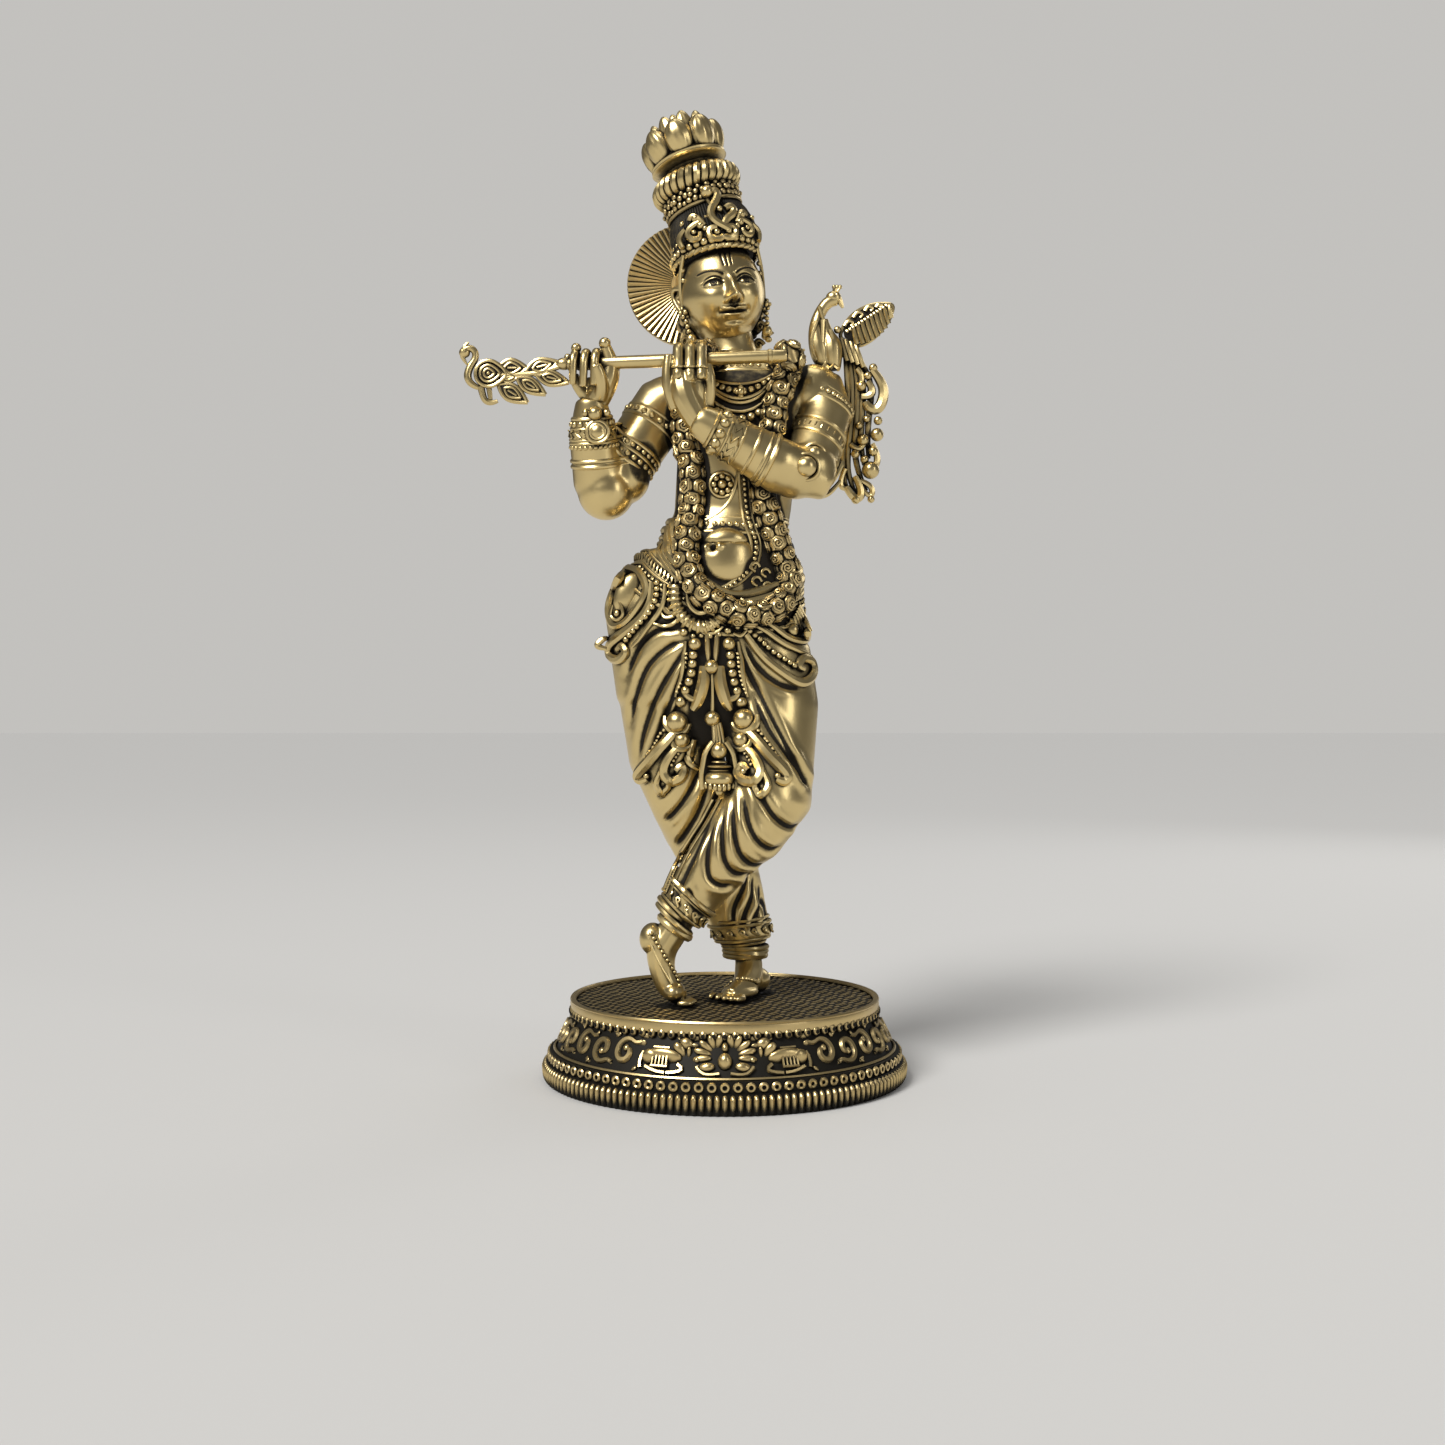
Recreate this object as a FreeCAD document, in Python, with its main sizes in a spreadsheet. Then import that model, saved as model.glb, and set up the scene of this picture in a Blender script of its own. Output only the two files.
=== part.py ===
"""Cast brass flute player on a round pedestal, as an assembly of soldered castings.

Millimetres.  +Z is up, -Y is the side that the figure faces, +X is on the viewer's right.
The origin is the centre of the pedestal's resting face.

The figure is a chain of stations that rises from the deck.  A station is one cross-section
of a limb: a step from the station before it, a lean in the frontal plane, a half width and
a half depth.  A limb is a loft through its stations.  Jewellery takes its place and size
from the station that it sits on and is trimmed by the limb, so that it always seats.
"""
import FreeCAD
import Part
import Sketcher
import os

Vector = FreeCAD.Vector

doc = FreeCAD.newDocument("flute_player")
sheet = doc.addObject("Spreadsheet::Sheet", "Sizes")
aliases = []
parts = {}
frames = {}


# ---------------------------------------------------------------- sizes and placements
def sizes(**values):
    """Driving dimensions: plain numbers in the sheet, each known by its alias."""
    for alias, value in values.items():
        aliases.append(alias)
        row = len(aliases)
        sheet.set(f"A{row}", alias)
        sheet.set(f"B{row}", str(value))
        sheet.setAlias(f"B{row}", alias)
    sheet.recompute()
    return [f"Sizes.{alias}" for alias in values]


def bind(thing, **formulas):
    for name, formula in formulas.items():
        thing.setExpression(name, str(formula))


def place(x=0, y=0, z=0, yaw=0, lean=0, roll=0):
    return f"placement(vector({x}; {y}; {z}); rotation({yaw}; {lean}; {roll}))"


def step_from(parent, x, y, z, yaw=0, lean=0):
    """Stepped off from the parent along the axes of the whole figure."""
    return (f"placement({parent}.Placement.Base + vector({x}; {y}; {z}); "
            f"rotation({yaw}; {lean}; 0))")


def at(parent, **offset):
    """A place in the frame of a station or of an object."""
    return f"{frames.get(parent, parent + '.Placement')} * {place(**offset)}"


def spot(name, station, angle, up, out):
    """A place on a limb's skin: angle from the front, height above the station, stand-off."""
    angle, up, out = sizes(**{f"{name}_angle": angle, f"{name}_up": up, f"{name}_out": out})
    width, depth = f"Sizes.{station}_width", f"Sizes.{station}_depth"
    x = f"({width} + {out}) * sin({angle})"
    y = f"-({depth} + {out}) * cos({angle})"
    return at(station, x=x, y=y, z=up, yaw=angle)


# ---------------------------------------------------------------- shared feature makers
def node(label, thing):
    """Registers a finished piece under the name of its file."""
    thing.Label = label
    parts[label] = thing
    return thing


def solid(kind, name, placement, **formulas):
    made = doc.addObject(f"Part::{kind}", name)
    bind(made, Placement=placement, **formulas)
    return made


def cut(base, *tools):
    """Trims a piece by each of the pieces that it seats on."""
    piece = base
    for tool in tools:
        made = doc.addObject("Part::Cut", f"{base.Name}_less_{tool.Name}")
        made.Base = piece
        made.Tool = tool
        piece = made
    return piece


def fuse(name, pieces):
    made = doc.addObject("Part::MultiFuse", name)
    made.Shapes = list(pieces)
    made.Refine = False
    return made


def group(name, pieces):
    made = doc.addObject("Part::Compound", name)
    made.Links = list(pieces)
    return made


def loft(name, stations):
    made = doc.addObject("Part::Loft", name)
    made.Sections = stations
    made.Solid = True
    made.Ruled = True
    return made


def ellipse(name, placement, width, depth):
    """An ellipse by half width and half depth, whichever of the two is larger."""
    made = doc.addObject("Part::Ellipse", name)
    turn = place(yaw=f"({width} >= {depth} ? 0 : 90)")
    bind(made, Placement=f"{placement} * {turn}",
         MajorRadius=f"max({width}; {depth})", MinorRadius=f"min({width}; {depth})")
    frames[name] = placement
    return made


def extruded(name, base, thickness):
    made = doc.addObject("Part::Extrusion", name)
    made.Base = base
    made.DirMode = "Normal"
    made.Solid = True
    made.Symmetric = True
    bind(made, LengthFwd=thickness)
    return made


def leaf(name, placement, length, width, thickness, turn=0):
    """A flat oval that faces out of the skin; turn swings its long axis off the vertical."""
    length, width, thickness, turn = sizes(**{
        f"{name}_length": length, f"{name}_width": width,
        f"{name}_thickness": thickness, f"{name}_turn": turn})
    face = f"{placement} * {place(lean=turn)} * {place(roll=90)}"
    oval = ellipse(f"{name}_oval", face, f"{width} / 2", f"{length} / 2")
    return extruded(name, oval, thickness)


def limb(name, anchor, rows, yaw=0):
    """Lofts a limb.  A row is station, step x, y, z, lean, half width, half depth."""
    stations = []
    previous = anchor
    for station, step_x, step_y, step_z, lean, half_width, half_depth in rows:
        key = f"{name}_{station}"
        x, y, z, lean, width, depth = sizes(**{
            f"{key}_x": step_x, f"{key}_y": step_y, f"{key}_z": step_z,
            f"{key}_lean": lean, f"{key}_width": half_width, f"{key}_depth": half_depth})
        stations.append(ellipse(key, step_from(previous, x, y, z, yaw, lean), width, depth))
        previous = key
    return loft(name, stations)


def band(name, station, height, proud, up=0, roll=0):
    """A hoop bent around a limb and proud of it all round; roll drops its front."""
    height, proud, up, roll = sizes(**{f"{name}_height": height, f"{name}_proud": proud,
                                       f"{name}_up": up, f"{name}_roll": roll})
    hoop = ellipse(f"{name}_hoop", at(station, z=up, roll=roll),
                   f"(Sizes.{station}_width + {proud})", f"(Sizes.{station}_depth + {proud})")
    return extruded(f"{name}_drum", hoop, height)


def blossom(name, placement, radius, thickness, petals=8):
    """A short prism that faces out of the skin: a rose, or a bead with six sides."""
    return solid("Prism", name, f"{placement} * {place(z=0, roll=90)} * {place(z=f'-{thickness} / 2')}",
                 Circumradius=radius, Height=thickness, Polygon=petals)


def strand(name, waypoints, counts, radius, thickness, petals=8):
    """Blossoms strung along straight spans between waypoints on the skin.

    A waypoint is station, angle, up, out; counts holds the blossoms of each span.
    """
    radius, thickness = sizes(**{f"{name}_radius": radius, f"{name}_thickness": thickness})
    ends = [blossom(f"{name}_{i}", spot(f"{name}_{i}", *waypoint), radius, thickness, petals)
            for i, waypoint in enumerate(waypoints)]
    pieces = list(ends)
    for i, (first, last, count) in enumerate(zip(ends, ends[1:], counts)):
        for k in range(1, count):
            share = round(k / count, 3)
            base = (f"{first.Name}.Placement.Base * {round(1 - share, 3)} "
                    f"+ {last.Name}.Placement.Base * {share}")
            pieces.append(solid("Prism", f"{name}_{i}_{k}",
                                f"placement({base}; {first.Name}.Placement.Rotation)",
                                Circumradius=radius, Height=thickness, Polygon=petals))
    return pieces


def origin_plane(body, role):
    return next(f for f in body.Origin.OriginFeatures if f.Role == role)


def outline(body, name, role, corners):
    """A closed sketch of straight edges; a corner is a pair of formulas."""
    sketch = body.newObject("Sketcher::SketchObject", name)
    sketch.AttachmentSupport = [(origin_plane(body, role), "")]
    sketch.MapMode = "FlatFace"
    spots = [Vector(*(float(sheet.evalExpression(str(c))) for c in corner), 0)
             for corner in corners]
    for i, start in enumerate(spots):
        sketch.addGeometry(Part.LineSegment(start, spots[(i + 1) % len(spots)]), False)
    for i, corner in enumerate(corners):
        sketch.addConstraint(Sketcher.Constraint("Coincident", i, 2, (i + 1) % len(spots), 1))
        for kind, axis, formula, now in zip(("DistanceX", "DistanceY"), (-2, -1), corner, spots[i]):
            if formula == 0:
                sketch.addConstraint(Sketcher.Constraint("PointOnObject", i, 1, axis))
            else:
                sketch.addConstraint(Sketcher.Constraint(kind, -1, 1, i, 1, now))
                sketch.setExpression(f"Constraints[{sketch.ConstraintCount - 1}]", formula)
    return sketch


def turned(name, corners):
    """A body turned about its own Z from corners given as radius and height."""
    body = doc.addObject("PartDesign::Body", name)
    profile = outline(body, f"{name}_profile", "XZ_Plane", corners)
    turn = body.newObject("PartDesign::Revolution", f"{name}_turn")
    turn.Profile = profile
    turn.ReferenceAxis = (profile, ["V_Axis"])
    turn.Angle = 360
    return body


def grooved(body, corners, count):
    """Cuts one groove through the body's full height and repeats it around Z."""
    profile = outline(body, f"{body.Name}_groove_outline", "XY_Plane", corners)
    groove = body.newObject("PartDesign::Pocket", f"{body.Name}_groove")
    groove.Profile = profile
    groove.Type = 1
    groove.Midplane = True
    pattern = body.newObject("PartDesign::PolarPattern", f"{body.Name}_grooves")
    pattern.Originals = [groove]
    pattern.Axis = (profile, ["N_Axis"])
    pattern.Angle = 360
    bind(pattern, Occurrences=count)
    body.Tip = pattern
    return body


# ---------------------------------------------------------------- sizes of the small castings
sizes(rosette_radius=1.9, rosette_thickness=1.3, rosette_eye_rise=0.3,
      medallion_radius=1.9, medallion_thickness=1.6,
      elbow_gem_radius=1.5, elbow_gem_thickness=2.0)
sizes(flute_radius=1.13, flute_length=39.0, flute_rise=2.2, flute_ring_radius=1.4,
      flute_ring_width=0.9, flute_start_x=-4.1, flute_start_y=-2.2, flute_start_z=6.0,
      first_hole=14.0, hole_pitch=3.0, hole_radius=0.35,
      finger_pitch=1.5, finger_x=-2.3, finger_y=-3.2, finger_z=5.6,
      grip_clearance=0.05, thumb_x=3.0, thumb_y=0.6)
sizes(rope_inner_radius=4.6, rope_outer_radius=8.4, rope_round=1.2, rope_height=3.0,
      rope_groove=0.7, rope_turns=30,
      dish_radius=7.2, dish_foot_radius=5.4, dish_height=1.2, dish_lip=1.0,
      outer_ring_radius=6.3, outer_petal_radius=2.2, outer_petal_height=7.6,
      inner_ring_radius=3.0, inner_petal_radius=2.0, inner_petal_height=8.6)
sizes(halo_radius=12.2, halo_thickness=1.4, halo_scallop=0.5, halo_rays=48, halo_lean=-12,
      halo_x=-5.3, halo_y=9.4, halo_z=-3.0, halo_boss_radius=3.0, halo_boss_length=5.0)
sizes(wing_x=5.6, wing_y=0.8, wing_z=3.0, tail_hole_radius=0.9, tail_hole_depth=6.0)

# ---------------------------------------------------------------- pedestal
# A hollow round casting: reeded foot, ring-chain band, tapered frieze wall, rim and deck.
sizes(foot_radius=33.6, foot_height=3.8, reed_count=72, reed_depth=0.6, reed_gap=1.1,
      chain_radius=32.2, chain_height=1.5,
      wall_low_radius=31.2, wall_top_radius=27.5, wall_height=7.6, wall_thickness=2.2,
      rim_radius=28.5, rim_height=1.9, rim_width=1.1, rim_rise=0.3, deck_thickness=2.4)
CHAIN_TOP = "(Sizes.foot_height + Sizes.chain_height)"
WALL_TOP = f"({CHAIN_TOP} + Sizes.wall_height)"
RIM_TOP = f"({WALL_TOP} + Sizes.rim_height)"
DECK = f"({RIM_TOP} - Sizes.rim_rise)"
CEILING = f"({DECK} - Sizes.deck_thickness)"

pedestal = turned("pedestal", [
    ("Sizes.foot_radius", 0),
    ("Sizes.foot_radius", "Sizes.foot_height"),
    ("Sizes.chain_radius", "Sizes.foot_height"),
    ("Sizes.chain_radius", CHAIN_TOP),
    ("Sizes.wall_low_radius", CHAIN_TOP),
    ("Sizes.wall_top_radius", WALL_TOP),
    ("Sizes.rim_radius", WALL_TOP),
    ("Sizes.rim_radius", RIM_TOP),
    ("Sizes.rim_radius - Sizes.rim_width", RIM_TOP),
    ("Sizes.rim_radius - Sizes.rim_width", DECK),
    (0, DECK),
    (0, CEILING),
    ("Sizes.wall_top_radius - Sizes.wall_thickness", CEILING),
    ("Sizes.wall_low_radius - Sizes.wall_thickness", 0)])
grooved(pedestal, [
    ("Sizes.foot_radius - Sizes.reed_depth", 0),
    ("Sizes.foot_radius + Sizes.reed_depth", "Sizes.reed_gap"),
    ("Sizes.foot_radius + Sizes.reed_depth", "-Sizes.reed_gap")], "Sizes.reed_count")
ellipse("deck_edge", place(z=DECK), "Sizes.rim_radius", "Sizes.rim_radius")

# ---------------------------------------------------------------- feet and legs
# The standing foot is flat on the deck; the crossing foot stands on its toes.
standing_foot = limb("standing_foot", "deck_edge", [
    ("sole", 4.0, 0.0, 0.0, 0, 8.2, 3.0),
    ("toes", 0.1, 0.4, 1.6, 0, 7.8, 3.1),
    ("heel", 1.1, 3.8, 5.0, 0, 3.6, 2.9),
    ("peg", -1.3, 1.8, 5.6, -6, 3.0, 2.8)], yaw=61)
crossing_foot = limb("crossing_foot", "deck_edge", [
    ("toes", -8.0, -8.6, 0.0, 0, 3.1, 2.3),
    ("arch", -1.9, 0.8, 4.0, 2, 2.4, 2.2),
    ("heel", -1.4, 0.1, 7.0, 14, 3.6, 3.1),
    ("peg", 4.4, -0.2, 6.6, 30, 3.0, 2.8)])
standing_leg = limb("standing_leg", "deck_edge", [
    ("hem", 3.7, 6.0, 10.2, -8, 5.1, 4.6),
    ("calf", -3.4, -1.5, 11.1, -20, 6.1, 5.8),
    ("knee", -6.4, -4.0, 15.3, -24, 7.4, 7.2),
    ("above_knee", -3.0, -0.5, 9.3, -18, 8.6, 7.9),
    ("hip", -2.6, 0.5, 20.4, -12, 9.3, 8.6)])
crossing_leg = limb("crossing_leg", "deck_edge", [
    ("hem", -8.2, -8.0, 16.4, 36, 4.1, 4.0),
    ("calf", 7.4, -0.5, 10.1, 39, 5.6, 5.5),
    ("below_knee", 5.1, 0.5, 5.7, 36, 6.9, 6.6),
    ("knee", 3.7, 1.5, 6.1, 22, 7.9, 7.4),
    ("thigh", 0.1, 4.5, 16.8, 5, 8.9, 8.5),
    ("hip", -1.4, 2.0, 11.1, 6, 8.8, 8.4)])
hips = limb("hips", "standing_leg_hip", [
    ("crotch", 10.1, -1.5, -19.5, 0, 8.1, 6.5),
    ("thighs", -0.4, 0.0, 8.3, 0, 17.6, 9.5),
    ("buttock", -1.9, 1.0, 17.6, -2, 18.1, 11.0),
    ("belt_line", 2.5, -0.5, 10.6, -4, 13.9, 9.2)])
lower_body = node("dhoti_casting", fuse("lower_body", [hips, standing_leg, crossing_leg]))

# ---------------------------------------------------------------- torso, neck and head
torso = limb("torso", "hips_belt_line", [
    ("root", -0.2, -0.3, -2.6, -3, 12.2, 8.6),
    ("belly", 1.3, -0.5, 4.0, -3, 11.5, 8.8),
    ("waist", 1.8, 0.5, 5.2, -2, 10.5, 7.8),
    ("breast", 0.9, 0.5, 11.6, -2, 10.8, 8.8),
    ("armpit", 0.6, 0.6, 9.4, -6, 13.4, 8.0),
    ("shoulders", 0.2, 0.5, 2.7, -7, 12.6, 6.4),
    ("neck_root", -0.8, 0.0, 3.7, -6, 5.9, 4.5)])
head = limb("head", "torso_neck_root", [
    ("neck_foot", 0.0, -0.2, -1.1, -4, 4.1, 4.3),
    ("under_chin", -1.3, -1.4, 6.4, -8, 3.8, 4.8),
    ("jaw", -0.6, 0.4, 3.6, -12, 6.2, 6.9),
    ("cheek", -0.5, 0.4, 3.6, -12, 7.4, 7.9),
    ("brow", -1.3, 0.6, 7.2, -12, 7.8, 8.7),
    ("crown", -1.4, 0.3, 5.6, -12, 6.2, 7.4),
    ("top", -0.7, 0.1, 2.1, -12, 4.1, 5.0)], yaw=13)
nose = leaf("nose", spot("nose_tip", "head_cheek", 0, 1.6, 0.0), 3.4, 1.8, 1.6)
ears = [leaf(f"{side}_ear", spot(f"{side}_ear_seat", "head_cheek", angle, 2.4, 0.0), 4.4, 2.2, 1.8)
        for side, angle in (("right", -88), ("left", 88))]

# ---------------------------------------------------------------- arms
right_upper_arm = limb("right_upper_arm", "torso_shoulders", [
    ("root", -10.0, -0.3, -2.2, 62, 4.5, 4.2),
    ("shoulder", -4.4, -1.0, -2.0, 46, 5.4, 5.2),
    ("above_elbow", -7.3, -2.5, -11.3, 34, 5.1, 5.0),
    ("elbow", -2.7, -1.5, -4.4, 22, 4.7, 4.6)])
right_forearm = limb("right_forearm", "right_upper_arm_elbow", [
    ("point", -1.1, -0.3, -4.6, 0, 2.4, 2.3),
    ("bend", -0.3, -0.6, 4.7, 0, 4.6, 4.5),
    ("cuff", -1.2, -2.8, 9.0, -3, 4.0, 3.9),
    ("heel_of_hand", -0.1, -1.8, 5.8, 0, 2.6, 2.5)])
left_upper_arm = limb("left_upper_arm", "torso_shoulders", [
    ("root", 9.3, -0.2, -2.6, -62, 4.6, 4.2),
    ("shoulder", 4.6, -0.4, 0.9, -38, 5.2, 5.0),
    ("upper", 1.0, -2.2, -4.2, -4, 5.2, 5.1),
    ("bend", -2.8, -6.2, -10.4, 14, 4.7, 4.6),
    ("elbow", -0.9, -1.8, -3.0, 14, 4.0, 3.8)])
left_forearm = limb("left_forearm", "left_upper_arm_elbow", [
    ("point", 4.3, -0.2, -1.1, -62, 2.4, 2.3),
    ("swell", -8.4, -2.2, 3.1, -62, 4.7, 4.6),
    ("cuff", -10.1, -2.2, 5.3, -62, 3.6, 3.5),
    ("heel_of_hand", -5.1, -0.6, 2.9, -58, 2.6, 2.5)])
node("torso", cut(torso, lower_body))
node("right_arm", cut(fuse("right_arm_casting", [right_upper_arm, right_forearm]),
                                  torso))
node("left_arm", cut(fuse("left_arm_casting", [left_upper_arm, left_forearm]), torso))
node("head", cut(fuse("head_casting", [head, nose] + ears), torso))

# ---------------------------------------------------------------- fixings under the feet
# A cheese-head screw comes up through the deck into each foot.
sizes(screw_radius=1.1, screw_reach=2.6, screw_head_radius=2.0, screw_head_height=1.4,
      screw_clearance=0.15)
screws, screw_holes = [], []
for foot, sole in (("standing", "standing_foot_sole"), ("crossing", "crossing_foot_toes")):
    below = at(sole, z="-Sizes.deck_thickness")
    shank = solid("Cylinder", f"{foot}_screw_shank", below, Radius="Sizes.screw_radius",
                  Height="Sizes.deck_thickness + Sizes.screw_reach")
    cap = solid("Cylinder", f"{foot}_screw_head",
                at(sole, z="-Sizes.deck_thickness - Sizes.screw_head_height"),
                Radius="Sizes.screw_head_radius", Height="Sizes.screw_head_height")
    screws.append(fuse(f"{foot}_screw", [shank, cap]))
    screw_holes.append(solid("Cylinder", f"{foot}_screw_hole", below,
                             Radius="Sizes.screw_radius + Sizes.screw_clearance",
                             Height="Sizes.deck_thickness"))
node("fixing_screws", group("screw_pair", screws))
node("pedestal_casting", cut(pedestal, *screw_holes))
node("standing_foot", cut(standing_foot, standing_leg, screws[0]))
node("crossing_foot", cut(crossing_foot, crossing_leg, screws[1]))

# ---------------------------------------------------------------- hem cuffs and anklets
standing_cuff = band("standing_cuff", "standing_leg_hem", 3.4, 0.9, up=1.7)
crossing_cuff = band("crossing_cuff", "crossing_leg_hem", 3.4, 0.9, up=1.7)
node("standing_hem_cuff", cut(standing_cuff, standing_leg))
node("crossing_hem_cuff", cut(crossing_cuff, crossing_leg))
node("standing_anklet", cut(band("standing_anklet", "standing_foot_peg", 1.2, 1.0, up=-3.2),
                            standing_foot))
node("crossing_anklet", cut(band("crossing_anklet", "crossing_foot_peg", 1.2, 1.0, up=-2.8),
                            crossing_foot))

# ---------------------------------------------------------------- belts and their ornaments
waist_belt = band("waist_belt", "hips_belt_line", 2.4, 1.2, up=-1.6, roll=9)
hip_belt = band("hip_belt", "hips_buttock", 3.6, 0.6, up=3.4, roll=9)
belly_band = band("belly_band", "torso_waist", 2.6, 0.8, up=-3.2, roll=-2)
node("waist_belt", cut(waist_belt, lower_body, torso))
node("hip_belt", cut(hip_belt, lower_body, waist_belt, torso))
node("belly_band", cut(belly_band, torso))
buckle = leaf("buckle", spot("buckle_seat", "hips_buttock", -2, -0.6, 0.9), 4.4, 6.0, 2.0)
node("buckle", cut(buckle, hip_belt, lower_body))

# Sashes hang over both hips; bead loops and a bell tassel hang between them.
right_sash = limb("right_sash", "hips_buttock", [
    ("top", -8.7, -9.8, 2.4, 30, 2.6, 1.5),
    ("middle", -3.7, 1.7, -6.3, 34, 2.4, 1.5),
    ("curl", -3.6, 3.2, -5.6, 40, 2.2, 1.4),
    ("tip", -2.4, 1.6, -2.0, 60, 0.9, 0.8)])
left_sash = limb("left_sash", "hips_buttock", [
    ("top", 9.2, -10.4, -2.6, -50, 2.4, 1.5),
    ("middle", 4.2, 2.2, -4.2, -52, 2.3, 1.4),
    ("curl", 4.1, 3.4, -3.5, -60, 2.0, 1.3),
    ("tip", 1.8, 2.0, -0.4, -80, 0.9, 0.8)])
node("right_sash", cut(right_sash, lower_body, hip_belt))
node("left_sash", cut(left_sash, lower_body, hip_belt))
loops = {}
for side, top_angle, foot_angle in (("right", -6, -19), ("left", 3, 19)):
    loops[side] = fuse(f"{side}_loop_string", strand(f"{side}_loop", [
        ("hips_buttock", top_angle, -4.6, 0.2),
        ("hips_thighs", foot_angle, -2.0, 1.2)], [9], 1.15, 1.8, petals=6))
    node(f"{side}_bead_loop", cut(loops[side], lower_body, buckle))
for side, angle, turn in (("right", -22, 32), ("left", 23, -30)):
    scrolls = [leaf(f"{side}_scroll_stem", spot(f"{side}_scroll_top", "hips_thighs", angle, -6.5, 1.4),
                    9.0, 2.6, 2.4, turn),
               leaf(f"{side}_scroll_curl", spot(f"{side}_scroll_foot", "hips_thighs", angle, -9.5, 1.4),
                    5.0, 3.4, 2.2, -turn)]
    node(f"{side}_scroll", cut(fuse(f"{side}_scroll_pair", scrolls), lower_body, loops[side]))
sizes(tassel_radius=2.3, tassel_neck_radius=1.0, tassel_height=5.0, tassel_ball_radius=1.7,
      tassel_ball_height=2.6)
tassel_place = spot("tassel_seat", "hips_crotch", 3, -6.5, 2.6)
bell = solid("Cone", "tassel_bell", tassel_place, Radius1="Sizes.tassel_radius",
             Radius2="Sizes.tassel_neck_radius", Height="Sizes.tassel_height")
ball = solid("Prism", "tassel_ball", f"{tassel_place} * {place(z='Sizes.tassel_height')}",
             Circumradius="Sizes.tassel_ball_radius", Height="Sizes.tassel_ball_height", Polygon=8)
cord = leaf("tassel_cord", f"{tassel_place} * {place(z='Sizes.tassel_height')}", 17.0, 1.8, 1.6)
node("tassel", cut(fuse("tassel_casting", [bell, ball, cord]), lower_body, buckle))
# ---------------------------------------------------------------- chest jewellery
collar = band("collar", "torso_neck_root", 1.8, 1.7, up=-1.5, roll=14)
node("collar", cut(collar, torso, head))
pearls = strand("pearl", [
    ("torso_shoulders", -52, 2.2, 0.2),
    ("torso_armpit", -24, -0.6, 0.3),
    ("torso_armpit", 10, -1.6, 0.3),
    ("torso_shoulders", 46, 1.6, 0.2)], [5, 4, 5], 0.95, 1.8, petals=6)
node("pearl_necklace", cut(fuse("pearl_string", pearls), torso, collar))
rosette_place = spot("rosette_seat", "torso_breast", -12, -7.4, 0.3)
rosette = fuse("rosette_casting", [
    blossom("rosette_disc", rosette_place, "Sizes.rosette_radius", "Sizes.rosette_thickness"),
    blossom("rosette_eye", rosette_place, "Sizes.rosette_radius / 2.5",
            "Sizes.rosette_thickness + 2 * Sizes.rosette_eye_rise")])
node("rosette_pendant", cut(rosette, torso))
thread = strand("thread", [
    ("torso_breast", 14, -8.6, 0.1),
    ("torso_waist", 15, -5.6, 0.1),
    ("torso_belly", -2, -3.8, 0.2)], [8, 6], 0.6, 1.2, petals=6)
node("sacred_thread", cut(fuse("thread_string", thread), torso, lower_body, belly_band))

# A rope of roses falls from both shoulders and turns below the belts.
roses = strand("rose", [
    ("torso_shoulders", -38, 2.2, 0.9),
    ("torso_breast", -58, -3.0, 1.1),
    ("torso_belly", -35, -1.0, 1.9),
    ("hips_belt_line", -14, -7.6, 2.8),
    ("hips_buttock", 14, -0.8, 1.9),
    ("hips_buttock", 38, -1.6, 1.7),
    ("hips_buttock", 57, 2.4, 1.4),
    ("hips_belt_line", 47, -2.2, 2.0),
    ("torso_waist", 36, -1.6, 1.6),
    ("torso_breast", 36, 3.2, 1.2),
    ("torso_shoulders", 30, 1.6, 1.2),
    ("torso_neck_root", 70, 1.4, 2.2)], [6, 5, 4, 3, 2, 2, 3, 3, 6, 3, 2], 2.1, 2.6)
garland_seat = fuse("garland_seat", [torso, lower_body, left_upper_arm, left_forearm, head,
                                     waist_belt, hip_belt, belly_band, collar, left_sash, buckle]
                    + pearls)
garland = node("garland", cut(fuse("garland_rope", roses), garland_seat))

# ---------------------------------------------------------------- arm jewellery
right_armlet = band("right_armlet", "right_upper_arm_above_elbow", 2.4, 0.8, up=5.4)
left_armlet = band("left_armlet", "left_upper_arm_bend", 3.0, 0.7, up=6.2)
right_bracelet = band("right_bracelet", "right_forearm_cuff", 5.4, 0.8, up=1.2)
left_bracelet = band("left_bracelet", "left_forearm_cuff", 5.0, 0.8, up=0.8)
right_ring = band("right_forearm_ring", "right_forearm_cuff", 1.2, 0.9, up=-5.0)
left_ring = band("left_forearm_ring", "left_forearm_cuff", 1.2, 1.0, up=-5.2)
node("right_armlet", cut(right_armlet, right_upper_arm, right_forearm))
node("left_armlet", cut(left_armlet, left_upper_arm, left_forearm, torso, garland))
node("right_bracelet", cut(right_bracelet, right_forearm))
node("left_bracelet", cut(left_bracelet, left_forearm, torso, garland))
node("right_forearm_ring", cut(right_ring, right_forearm))
node("left_forearm_ring", cut(left_ring, left_forearm, torso, garland))
medallion = blossom("medallion", spot("medallion_seat", "right_forearm_cuff", 14, 1.2, 1.2),
                    "Sizes.medallion_radius", "Sizes.medallion_thickness")
node("bracelet_medallion", cut(medallion, right_bracelet, right_forearm))
elbow_gems = [blossom(f"elbow_gem_{side}",
                      spot(f"elbow_gem_{side}_seat", "left_upper_arm_bend", angle, 0.4, 0.7),
                      "Sizes.elbow_gem_radius", "Sizes.elbow_gem_thickness")
              for side, angle in (("inner", 22), ("outer", 66))]
flame = leaf("elbow_flame", spot("elbow_flame_seat", "left_upper_arm_bend", 92, 1.4, 0.9),
             5.4, 3.2, 1.6, 20)
elbow_ornament = fuse("elbow_ornament_casting", elbow_gems + [flame])
node("elbow_ornament", cut(elbow_ornament, left_upper_arm, left_forearm, left_armlet, torso))

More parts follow.
